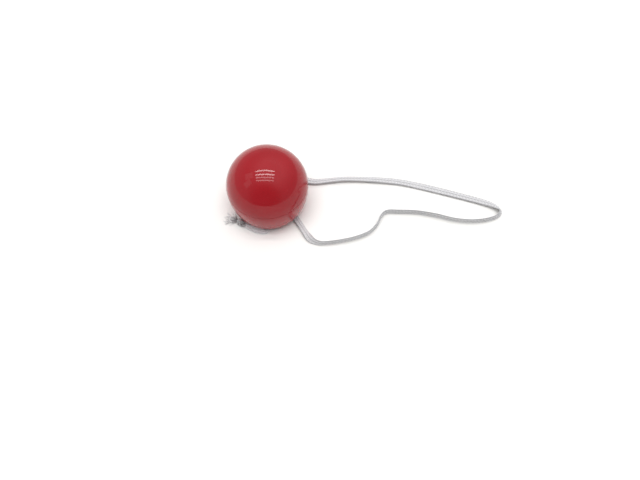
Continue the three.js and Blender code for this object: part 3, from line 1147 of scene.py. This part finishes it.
def swept_section(
    centre: np.ndarray,
    wide: np.ndarray,
    along: np.ndarray,
    section: BandSection,
    spread: np.ndarray,
    looped: bool,
) -> Patch:
    """The section placed at each centre.

    Args:
        centre: rows x 3, the section's middles.
        wide: rows x 3, directions of its width.
        along: rows x 3, directions of the sweep, with its thickness along `along x wide`.
        section: the band's section.
        spread: share of its width at each row.
        looped: whether the last row meets the first.

    Returns:
        A closed patch with U across the width and V along it, in widths.
    """
    through = np.cross(along, wide)
    outline, share = section.outline()
    points = (
        centre[:, None, :]
        + wide[:, None, :] * (outline[None, :, :1] * spread[:, None, None])
        + through[:, None, :] * outline[None, :, 1:]
    )
    steps = np.linalg.norm(np.diff(centre, axis=0), axis=1)
    run = np.concatenate([[0], np.cumsum(steps)]) / section.width
    share = np.append(share, share[0])
    if looped:
        run = np.append(run, run[-1] + steps[-1] / section.width)
    else:
        run = np.concatenate([run[:1], run, run[-1:]])
    uvs = np.stack(np.broadcast_arrays(share[None, :], run[:, None]), axis=-1)
    return grid_patch(points, True, True, uvs) if looped else capped(points, uvs)


@dataclass
class ElasticBand:
    """The flat elastic, one length from the right tie hole to the end knot.

    Args:
        section: its section.
        span_steps: points of the curve for each row of the route.
        pitch: distance between its rows of points.
        waver: how much its width wavers, as a share.
        waver_rows: rows from one draw of the waver to the next.
        waver_limit: largest draw that is used.
        seed: seed of the draws.
    """

    section: BandSection = BAND_SECTION
    span_steps: int = 24
    pitch: float = 0.5 * MM
    waver: float = 0.025
    waver_rows: int = 16
    waver_limit: float = 1.5
    seed: int = 7

    def rows(self) -> np.ndarray:
        """The route at an even pitch, its width wavering a little along it.

        Returns:
            Columns x, y, z, lean in degrees and spread.
        """
        rows = respaced(through_rows(np.array(BAND_ROUTE), self.span_steps), self.pitch)
        draw = np.random.default_rng(self.seed)
        coarse = draw.normal(0, 1, len(rows) // self.waver_rows + 3)
        waver = np.interp(np.arange(len(rows)) / self.waver_rows, np.arange(len(coarse)), coarse)
        rows[:, 4] *= 1 + self.waver * np.clip(waver, -self.waver_limit, self.waver_limit)
        return rows

    def build(self) -> bpy.types.Object:
        """Makes the band and gives it its finish.

        Returns:
            The band's object.
        """
        band = make_piece("woven_band", swept_band(self.rows(), self.section), sharp_degrees=60)
        return dressed(band, WHITE_ELASTIC.material(), "elastic_band")

    def declare(self) -> float:
        """Returns:
            The band's length.
        """
        path = self.rows()[:, :3]
        length = float(np.linalg.norm(np.diff(path, axis=0), axis=1).sum())
        return length


# The ball


@dataclass(frozen=True)
class Relief:
    """A relief in the rim over the band.

    Args:
        azimuth: its middle, in degrees.
        width: its width along the rim.
        height: its height over the surface.
        end: length of each of its rounded ends.
    """

    azimuth: float
    width: float
    height: float
    end: float

    def rise(self, angle: np.ndarray, rim_radius: float) -> np.ndarray:
        """Height of the rim's edge: flat in the middle, a quarter ellipse at each end, 0 beyond.

        Args:
            angle: angles round the axis, in radians.
            rim_radius: outer radius of the rim.

        Returns:
            The height at each angle.
        """
        turn = (angle - math.radians(self.azimuth) + math.pi) % TAU - math.pi
        beside = np.abs(rim_radius * np.sin(turn)) - (self.width / 2 - self.end)
        share = np.clip(beside / self.end, 0, 1)
        return np.where(np.abs(turn) < math.pi / 2, self.height * np.sqrt(1 - share**2), 0)


@dataclass
class Ball:
    """The hollow red ball in two halves, with the sizes that both share.

    Args:
        radius: outer radius.
        depth: height of the front pole.
        rim_radius: outer radius of the rim.
        seam: height of the seam.
        fit: gap between pieces.
        seam_gap: width of the seam's line.
        wall: thickness of the walls.
        opening_radius: radius of the nose opening.
        lip: thickness of the lip round it.
        spigot_height: how far the rear half's spigot stands up.
        spigot_wall: its thickness.
        spigot_root: how far it reaches down inside the rear half.
        case_radius: radius of the light's case.
        case_top: height of its top.
        socket_wall: thickness of the socket round the case.
        socket_grip: how far it grips the case.
        shoulder: width of the ledge over the case.
        seam_round: fillet of thin edges.
        edge_round: fillet of the rim.
        hole_radius: radius of a tie hole.
        hole_height: height of its middle.
        hole_azimuth: its place round the rim, in degrees.
        hole_sides: points round it.
        lip_draw: share of the lip that is drawn back over the band.
        lip_slack: points nearer than this to the wall aren't drawn back.
        columns: points round the ball.
        reliefs: the reliefs over the band.
    """

    radius: float = BALL_RADIUS
    depth: float = BALL_DEPTH
    rim_radius: float = 19 * MM
    seam: float = 19.5 * MM
    fit: float = 0.3 * MM
    seam_gap: float = 0.18 * MM
    wall: float = 1.5 * MM
    opening_radius: float = 16 * MM
    lip: float = 1.6 * MM
    spigot_height: float = 2.2 * MM
    spigot_wall: float = 1.0 * MM
    spigot_root: float = 2.0 * MM
    case_radius: float = CASE_RADIUS
    case_top: float = CASE_TOP
    socket_wall: float = 1.3 * MM
    socket_grip: float = 2.7 * MM
    shoulder: float = 1.0 * MM
    seam_round: float = 0.12 * MM
    edge_round: float = 0.35 * MM
    hole_radius: float = 1.2 * MM
    hole_height: float = TIE_HOLE_HEIGHT
    hole_azimuth: float = TIE_HOLE_AZIMUTH
    hole_sides: int = 32
    lip_draw: float = 0.92
    lip_slack: float = 0.05 * MM
    columns: int = 288
    reliefs: tuple[Relief, ...] = (
        Relief(azimuth=-105, width=19 * MM, height=2 * MM, end=4 * MM),
        Relief(azimuth=-39, width=7 * MM, height=2 * MM, end=1.2 * MM),
    )

    @property
    def middle(self) -> float:
        """Height of the sphere's middle."""
        return self.depth - self.radius

    def skin(self, height: np.ndarray | float, inset: float = 0.0) -> np.ndarray:
        """Radius at a height of the skin that lies `inset` inside the outside.

        Above the middle it is sqrt((R - inset)^2 - (z - middle)^2). Below it, an arc that is upright at the
        middle and meets the rim: offset + sqrt((arc - inset)^2 - (z - middle)^2), with the arc's radius
        from its sagitta.

        Args:
            height: heights over the surface.
            inset: how far inside the outside the skin lies.

        Returns:
            The radius at each height.
        """
        draw = self.radius - self.rim_radius
        arc = (draw**2 + self.middle**2) / (2 * draw)
        rise = np.asarray(height) - self.middle
        above = np.sqrt(np.clip((self.radius - inset) ** 2 - rise**2, 0, None))
        below = self.radius - arc + np.sqrt(np.clip((arc - inset) ** 2 - rise**2, 0, None))
        return np.where(rise >= 0, above, below)

    def skin_arc(self, low: float, high: float, inset: float, steps: int) -> list[tuple[float, float, float]]:
        """Profile rows on a skin between two heights, evenly spaced by angle round the middle.

        Args:
            low: height where it starts.
            high: height where it ends.
            inset: how far inside the outside the skin lies.
            steps: how many rows.

        Returns:
            Rows of radius, height and no fillet.
        """
        ends = np.arcsin(np.clip((np.array([low, high]) - self.middle) / (self.radius - inset), -1, 1))
        height = self.middle + (self.radius - inset) * np.sin(np.linspace(*ends, steps))
        return [(float(self.skin(z, inset)), float(z), 0.0) for z in height]

    def front_profile(self) -> np.ndarray:
        """Profile of the front half, from the inner pole round the socket and the seam to the outer pole.

        Returns:
            Rows of radius and height.
        """
        inner_radius = self.radius - self.wall
        foot = self.seam + self.seam_gap / 2
        grip = self.case_radius + self.fit
        shoulder = grip - self.shoulder
        socket = grip + self.socket_wall
        shelf = self.case_top + self.fit
        socket_foot = shelf - self.socket_grip

        def dome(r: float) -> float:
            """Height of the inner skin at radius r."""
            return self.middle + math.sqrt(inner_radius**2 - r**2)

        small = self.seam_round
        rows = [
            *self.skin_arc(self.middle + inner_radius, dome(shoulder), self.wall, 14),
            (shoulder, shelf, 0.0),
            (grip, shelf, small),
            (grip, socket_foot, small),
            (socket, socket_foot, small),
            *self.skin_arc(dome(socket), foot + small, self.wall, 36),
            (float(self.skin(foot, self.wall)), foot, small),
            (float(self.skin(foot)), foot, small),
            *self.skin_arc(foot + 2 * small, self.depth, 0.0, 90),
        ]
        return filleted(rows)

    def rear_profile(self) -> np.ndarray:
        """Closed profile of the rear half: lip, outside, seam step, spigot and inside.

        Returns:
            Rows of radius and height.
        """
        top = self.seam - self.seam_gap / 2
        spigot_top = top + self.spigot_height
        spigot = float(self.skin(spigot_top, self.wall)) - self.fit
        spigot_inner = spigot - self.spigot_wall
        root = top - self.spigot_root
        root_foot = root - (float(self.skin(root, self.wall)) - spigot_inner)
        small, edge = self.seam_round, self.edge_round
        rows = [
            (self.opening_radius, 0.0, edge),
            (self.rim_radius, 0.0, edge),
            *self.skin_arc(2 * edge, top - 2 * small, 0.0, 52),
            (float(self.skin(top)), top, small),
            (spigot, top, 0.0),
            (spigot, spigot_top, small),
            (spigot_inner, spigot_top, small),
            (spigot_inner, root, 0.0),
            *self.skin_arc(root_foot, self.lip + edge, self.wall, 40),
            (float(self.skin(self.lip, self.wall)), self.lip, edge),
            (self.opening_radius, self.lip, edge),
        ]
        return filleted(rows)

    def relieved(self, patch: Patch, reach: float = 7 * MM) -> Patch:
        """The rear half with its rim lifted over the band.

        A point at height z below `reach` goes to rise + z (1 - rise / reach), slides along the skin to that
        height's radius, and where the rise passes the lip's thickness the lip draws back into the wall.

        Args:
            patch: the rear half.
            reach: height up to which it is lifted.

        Returns:
            The lifted rear half.
        """
        x, y, z = patch.points.T
        angle, radius = np.arctan2(y, x), np.hypot(x, y)
        rise = np.max([relief.rise(angle, self.rim_radius) for relief in self.reliefs], axis=0)
        low = z < reach
        lifted = np.where(low, rise + z * (1 - rise / reach), z)
        moved = radius + np.where(low, self.skin(lifted) - self.skin(z), 0)
        wall_inside = self.skin(lifted, self.wall)
        drawn = smooth_step(0, self.lip, rise) * (low & (moved < wall_inside - self.lip_slack))
        moved = moved + drawn * self.lip_draw * (wall_inside - moved)
        points = np.stack([moved * np.cos(angle), moved * np.sin(angle), lifted], axis=1)
        return Patch(points, patch.faces)

    def pierced(self, shell: bpy.types.Object) -> None:
        """Drills the two tie holes through the rear half.

        Args:
            shell: the rear half's object.
        """
        for azimuth in (self.hole_azimuth, self.hole_azimuth + 180):
            turn = math.radians(azimuth)
            outward = np.array([math.cos(turn), math.sin(turn), 0.0])
            side = np.array([-math.sin(turn), math.cos(turn), 0.0])
            around = np.arange(self.hole_sides) / self.hole_sides * TAU
            ring = np.cos(around)[:, None] * side + np.sin(around)[:, None] * np.array([0.0, 0.0, 1.0])
            middle = outward * float(self.skin(self.hole_height, self.wall / 2)) + (0, 0, self.hole_height)
            ends = np.array([-2, 2]) * self.wall
            tube = middle + outward * ends[:, None, None] + ring[None] * self.hole_radius
            drill = make_piece("drill", capped(tube))
            cut = shell.modifiers.new("tie_hole", "BOOLEAN")
            cut.operation, cut.solver, cut.object = "DIFFERENCE", "EXACT", drill
            bpy.context.view_layer.update()
            graph = bpy.context.evaluated_depsgraph_get()
            cut_mesh = bpy.data.meshes.new_from_object(shell.evaluated_get(graph))
            shell.modifiers.clear()
            shell.data = cut_mesh
            bpy.data.objects.remove(drill)

    def build(self) -> list[bpy.types.Object]:
        """Makes both halves and gives them their finish.

        Returns:
            The front half and the rear half.
        """
        finish = RED_PLASTIC.material()
        front = make_piece("front_half", revolved(self.front_profile(), self.columns, False), 35)
        rear = make_piece("rear_half", self.relieved(revolved(self.rear_profile(), self.columns, True)), 35)
        self.pierced(rear)
        return [
            dressed(front, finish, "front_shell"),
            dressed(rear, finish, "rear_shell"),
        ]


@dataclass
class LightUnit:
    """The plain battery light in the front half's socket: a round case and a domed lamp.

    Args:
        case_radius: radius of the case.
        case_top: height of its top.
        case_height: its height.
        chamfer: size of its lower chamfer.
        lamp_radius: radius of the lamp.
        lamp_height: how far the lamp stands out of the case.
        collar: how far it goes into the case.
        edge: fillet of the chamfer's edges.
        top_edge: fillet of the case's top edge.
        columns: points round it.
    """

    case_radius: float = CASE_RADIUS
    case_top: float = CASE_TOP
    case_height: float = 6.6 * MM
    chamfer: float = 0.6 * MM
    lamp_radius: float = 2.5 * MM
    lamp_height: float = 4.6 * MM
    collar: float = 0.35 * MM
    edge: float = 0.3 * MM
    top_edge: float = 0.25 * MM
    columns: int = 96

    def case_profile(self) -> np.ndarray:
        """The case's profile, from the middle of its foot to the middle of its top.

        Returns:
            Rows of radius and height.
        """
        foot = self.case_top - self.case_height
        rows = [
            (0.0, foot, 0.0),
            (self.case_radius - self.chamfer, foot, self.edge),
            (self.case_radius, foot + self.chamfer, self.edge),
            (self.case_radius, self.case_top, self.top_edge),
            (self.lamp_radius - self.collar, self.case_top, 0.0),
            (0.0, self.case_top, 0.0),
        ]
        return filleted(rows)

    def lamp_profile(self) -> np.ndarray:
        """The lamp's profile: a collar, a straight shaft and a round dome.

        Returns:
            Rows of radius and height.
        """
        shaft = self.case_top + self.lamp_height - self.lamp_radius
        turn = np.linspace(0, math.pi / 2, 16)
        dome = np.stack([self.lamp_radius * np.cos(turn), shaft + self.lamp_radius * np.sin(turn)], axis=1)
        start = [(0.0, self.case_top - self.collar), (self.lamp_radius, self.case_top - self.collar)]
        return np.concatenate([np.array(start), dome])

    def build(self) -> list[bpy.types.Object]:
        """Makes the case and the lamp.

        Returns:
            The case and the lamp.
        """
        pieces = []
        for name, profile, finish in (
            ("light_case", self.case_profile(), CASE_PLASTIC),
            ("light_lamp", self.lamp_profile(), LAMP_PLASTIC),
        ):
            piece = make_piece(name, revolved(profile, self.columns, False), 30)
            pieces.append(dressed(piece, finish.material(), "light_unit"))
        return pieces


# The knots and the tail


@dataclass(frozen=True)
class Turn:
    """One turn of the band over a knot.

    Args:
        slant: its turn from straight across the knot, in degrees.
        shift: its place along the knot.
        swell: how far it stands out, as a share of the knot's size.
        lean: tilt of the turn's own plane, in degrees.
    """

    slant: float
    shift: float
    swell: float
    lean: float


@dataclass
class Knot:
    """A drawn knot in the elastic: a lump wound with turns of the band.

    Args:
        name: the piece's name.
        node: the CAD node that it stands for.
        azimuth: its place round the rim, in degrees.
        distance: its middle's distance from the axis.
        height: its middle's height.
        half: half sizes across the rim, along it and upwards.
        turns: the turns wound over it.
        section: section of the drawn band.
    """

    name: str
    node: str
    azimuth: float
    distance: float
    height: float
    half: tuple[float, float, float]
    turns: tuple[Turn, ...]
    section: BandSection

    def placed(self, points: np.ndarray) -> np.ndarray:
        """Points given in the knot's own directions, set in the frame.

        Args:
            points: rows of outwards, along the rim and upwards, from the knot's middle.

        Returns:
            The same points in the frame.
        """
        turn = math.radians(self.azimuth)
        outward = np.array([math.cos(turn), math.sin(turn), 0.0])
        along = np.array([-math.sin(turn), math.cos(turn), 0.0])
        upward = np.array([0.0, 0.0, 1.0])
        middle = outward * self.distance + upward * self.height
        return middle + points[..., :1] * outward + points[..., 1:2] * along + points[..., 2:] * upward

    def core(
        self, fill: float = 0.8, creases: int = 7, crease: float = 0.05, rings: int = 24, sides: int = 40
    ) -> Patch:
        """The lump under the turns: an ellipsoid with lengthwise creases.

        At angle a round it and angle b along it, its radius is 1 + crease sin(creases a) sin(b).

        Args:
            fill: share of the knot's size that the lump fills.
            creases: how many creases.
            crease: their depth, as a share.
            rings: rings along it.
            sides: points round it.

        Returns:
            The lump.
        """
        b = np.linspace(0, math.pi, rings)[1:-1, None]
        a = np.linspace(0, TAU, sides, endpoint=False)[None, :]
        swell = fill * (1 + crease * np.sin(creases * a) * np.sin(b))
        across, along, up = self.half
        points = np.stack(
            [
                across * swell * np.sin(b) * np.cos(a),
                along * fill * np.cos(b + 0 * a),
                up * swell * np.sin(b) * np.sin(a),
            ],
            axis=-1,
        )
        share = np.broadcast_to(np.linspace(0, 1, sides + 1)[None, :], (rings, sides + 1))
        run = np.broadcast_to(np.linspace(0, 2, rings)[:, None], (rings, sides + 1))
        return capped(self.placed(points), np.stack([share, run], axis=-1))

    def wound(self, turn: Turn, steps: int = 72) -> Patch:
        """One turn: the band carried round the lump.

        The turn's path is (across cos a, shift + slant across the top, up sin a), scaled by its swell, and
        the band's width lies along the knot, leaning by the turn's slant.

        Args:
            turn: the turn.
            steps: sections round it.

        Returns:
            The turn, a closed ring.
        """
        across, along, up = self.half
        a = np.arange(steps) / steps * TAU
        slope = math.tan(math.radians(turn.slant))
        tilt = math.tan(math.radians(turn.lean))
        ring = np.stack(
            [
                across * turn.swell * np.cos(a),
                turn.shift + slope * across * np.cos(a) + tilt * up * np.sin(a),
                up * turn.swell * np.sin(a),
            ],
            axis=1,
        )
        centre = self.placed(ring)
        onward = unit(np.roll(centre, -1, axis=0) - np.roll(centre, 1, axis=0))
        outward = unit(centre - self.placed(np.array([[0.0, turn.shift, 0.0]])))
        wide = unit(np.cross(onward, outward))
        return swept_section(centre, wide, onward, self.section, np.ones(steps), True)

    def build(self, extras: list[Patch]) -> bpy.types.Object:
        """Makes the knot.

        Args:
            extras: further lengths of band that belong to it.

        Returns:
            The knot's object.
        """
        patch = self.core()
        for turn in self.turns:
            patch = patch.joined(self.wound(turn))
        for extra in extras:
            patch = patch.joined(extra)
        knot = make_piece(self.name, patch, 60)
        # The knot takes the darker copy of the elastic, which is painted shade.
        return dressed(knot, SHADED_KNOT_ELASTIC.material(), self.node)


def run_of_band(rows: list[tuple], section: BandSection, steps: int = 8) -> Patch:
    """A short length of band along given rows of x, y, z, lean and spread."""
    return swept_band(through_rows(np.array(rows, dtype=float), steps), section)


# Stout strands of the tail
TAIL_STRANDS = [
    # turn in degrees, reach as a share, rise in mm, wave in mm, girth as a share
    (-46, 0.62, 0.5, 0.5, 1.0),
    (-33, 0.86, 2.0, 0.6, 0.9),
    (-21, 0.95, 0.8, 0.4, 1.1),
    (-12, 0.80, 2.8, 0.7, 0.8),
    (-3, 1.00, 1.3, 0.5, 1.1),
    (8, 0.88, 2.4, 0.6, 0.9),
    (15, 1.00, 0.5, 0.4, 1.0),
    (26, 0.84, 1.7, 0.6, 1.0),
    (36, 0.90, 0.5, 0.5, 0.9),
    (50, 0.60, 1.0, 0.5, 0.8),
]


@dataclass
class FrayedTail:
    """Loose yarn beyond the end knot: stout strands from TAIL_STRANDS and fine fibres between them.

    Args:
        root: where the strands start.
        azimuth: the fan's middle direction, in degrees.
        reach: length of the longest stout strand.
        stout_radius: radius of a stout strand.
        fine_radius: radius of a fine fibre.
        fine_count: how many fine fibres.
        fine_reach: least and greatest length of a fibre, as a share of the reach.
        fine_rise: least and greatest height of its tip, in millimetres.
        fine_wave: least and greatest wave, in millimetres.
        fine_girth: least and greatest radius, as a share of the fine radius.
        pace: least and greatest pace of the waves along a strand.
        spread: twice the spread of their directions, in degrees.
        scatter: spread of the strands' starts.
        taper: share of a strand's girth that is lost at its tip.
        clearance: least gap between a strand and the surface.
        rings: points along a strand.
        sides: points round it.
        seed: seed of the draws.
    """

    root: tuple[float, float, float] = (-18.3 * MM, -14.0 * MM, 1.9 * MM)
    azimuth: float = 158.0
    reach: float = 8.3 * MM
    stout_radius: float = 0.36 * MM
    fine_radius: float = 0.05 * MM
    fine_count: int = 26
    fine_reach: tuple[float, float] = (0.55, 1.08)
    fine_rise: tuple[float, float] = (0.1, 2.8)
    fine_wave: tuple[float, float] = (0.2, 0.9)
    fine_girth: tuple[float, float] = (0.7, 1.4)
    pace: tuple[float, float] = (5.0, 11.0)
    spread: float = 50.0
    scatter: float = 0.35 * MM
    taper: float = 0.6
    clearance: float = 0.05 * MM
    rings: int = 22
    sides: int = 7
    seed: int = 11

    def strands(
        self, turn: np.ndarray, reach: np.ndarray, rise: np.ndarray, wave: np.ndarray, radius: np.ndarray
    ) -> Patch:
        """Tapered wavy tubes fanned out from the root.

        At share t of its length a strand's middle is root + reach t (cos turn, sin turn), plus wave
        sin(phase + pace t) t sideways. Its height goes from the root's to its rise, and its radius falls as
        1 - taper t^2.

        Args:
            turn: each strand's turn from the fan's middle, in degrees.
            reach: its length.
            rise: height of its tip.
            wave: how far it waves.
            radius: its radius at the root.

        Returns:
            The strands, each a closed tube.
        """
        draw = np.random.default_rng(self.seed + len(turn))
        t = np.linspace(0, 1, self.rings)[None, :, None]
        heading = np.radians(self.azimuth + turn)[:, None, None]
        forward = np.concatenate([np.cos(heading), np.sin(heading), 0 * heading], axis=2)
        sideways = np.concatenate([-np.sin(heading), np.cos(heading), 0 * heading], axis=2)
        upward = np.array([0.0, 0.0, 1.0])
        phase = draw.uniform(0, TAU, (len(turn), 1, 2))
        pace = draw.uniform(*self.pace, (len(turn), 1, 2))
        sway = np.sin(phase + pace * t) * t * wave[:, None, None]
        start = np.array(self.root) + draw.normal(0, self.scatter, (len(turn), 1, 3))
        height = (rise[:, None, None] - self.root[2]) * smooth_step(0, 1, t) + 0.5 * sway[..., 1:]
        centre = start + reach[:, None, None] * t * forward + sway[..., :1] * sideways + height * upward
        girth = radius[:, None] * (1 - self.taper * t[..., 0] ** 2)
        centre[..., 2] = np.maximum(centre[..., 2], girth + self.clearance)
        onward = unit(np.gradient(centre, axis=1))
        side = unit(np.cross(onward, upward))
        over = np.cross(side, onward)
        around = np.arange(self.sides) / self.sides * TAU
        ring = side[:, :, None, :] * np.cos(around)[:, None] + over[:, :, None, :] * np.sin(around)[:, None]
        tubes = centre[:, :, None, :] + ring * girth[:, :, None, None]
        share = np.linspace(0, 1, self.sides + 1)[None, :]
        run = np.concatenate([[0], np.linspace(0, 1, self.rings), [1]])[:, None]
        uvs = np.stack(np.broadcast_arrays(share, run), axis=-1)
        patch = capped(tubes[0], uvs)
        for tube in tubes[1:]:
            patch = patch.joined(capped(tube, uvs))
        return patch

    def build(self) -> bpy.types.Object:
        """Makes the tail and gives it its finish.

        Returns:
            The tail's object.
        """
        turn, reach, rise, wave, girth = np.array(TAIL_STRANDS).T
        patch = self.strands(turn, self.reach * reach, rise * MM, wave * MM, self.stout_radius * girth)
        draw = np.random.default_rng(self.seed)
        count = self.fine_count
        fine = self.strands(
            draw.normal(0, self.spread / 2, count),
            self.reach * draw.uniform(*self.fine_reach, count),
            draw.uniform(*self.fine_rise, count) * MM,
            draw.uniform(*self.fine_wave, count) * MM,
            self.fine_radius * draw.uniform(*self.fine_girth, count),
        )
        tail = make_piece("frayed_end", patch.joined(fine), 60)
        return dressed(tail, FRAYED_YARN.material(), "frayed_tail")


def end_knot() -> Knot:
    """The knot at the band's free end, outside the left tie hole."""
    return Knot(
        name="free_end_knot",
        node="end_knot",
        azimuth=TIE_HOLE_AZIMUTH + 180,
        distance=22.4 * MM,
        height=2.5 * MM,
        half=(1.5 * MM, 2.5 * MM, 2.1 * MM),
        turns=(
            Turn(slant=24, shift=-0.5 * MM, swell=0.84, lean=14),
            Turn(slant=-27, shift=0.5 * MM, swell=0.98, lean=-12),
            Turn(slant=12, shift=1.2 * MM, swell=0.74, lean=-24),
        ),
        section=DRAWN_SECTION,
    )


def inner_knot(name: str, node: str, azimuth: float) -> Knot:
    """A small knot inside a tie hole, which the band can't be drawn out by.

    Args:
        name: the piece's name.
        node: the CAD node that it stands for.
        azimuth: the tie hole's place round the rim, in degrees.

    Returns:
        The knot.
    """
    return Knot(
        name=name,
        node=node,
        azimuth=azimuth,
        distance=17.1 * MM,
        height=TIE_HOLE_HEIGHT,
        half=(1.5 * MM, 1.9 * MM, 1.5 * MM),
        turns=(
            Turn(slant=22, shift=-0.3 * MM, swell=0.8, lean=8),
            Turn(slant=-24, shift=0.4 * MM, swell=0.9, lean=-8),
        ),
        section=DRAWN_SECTION,
    )


def neck_runs() -> list[Patch]:
    """Short lengths of band at the end knot.

    Returns:
        The band's own lead into the knot, and the knot's neck through the tie hole.
    """
    lead = [
        # x, y, z, lean, spread
        (-0.0128, -0.0169, 0.0010, -8, 1.0),
        (-0.0141, -0.0167, 0.0013, -6, 0.95),
        (-0.0153, -0.0161, 0.0019, 10, 0.85),
        (-0.0164, -0.0153, 0.0024, 25, 0.7),
    ]
    neck = [
        # x, y, z, lean, spread
        (-0.0160, -0.0150, 0.0026, 0, 0.75),
        (-0.0148, -0.0138, 0.0032, 0, 0.72),
        (-0.0138, -0.0129, 0.0034, 0, 0.72),
        (-0.0126, -0.0117, 0.0034, 0, 0.75),
    ]
    return [run_of_band(lead, LEAD_SECTION), run_of_band(neck, DRAWN_SECTION)]


def main() -> None:
    """Builds the object in order and reports each piece."""
    logging.basicConfig(level=logging.INFO, format="%(name)s: %(message)s")
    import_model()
    PhotoCamera().place()
    elastic = ElasticBand()
    band = elastic.build()
    on_band = [
        end_knot().build(neck_runs()),
        inner_knot("inner_head", "end_knot", TIE_HOLE_AZIMUTH + 180).build([]),
        inner_knot("inner_stopper", "stopper_knot", TIE_HOLE_AZIMUTH).build([]),
        FrayedTail().build(),
    ]
    length = elastic.declare()
    log.info("band length: %.1f mm", length / MM)
    pieces = [band, *on_band, *Ball().build(), *LightUnit().build()]
    Studio().build()
    for piece in pieces:
        log.info("%s: %d faces", piece.name, len(piece.data.polygons))


if __name__ == "__main__":
    main()
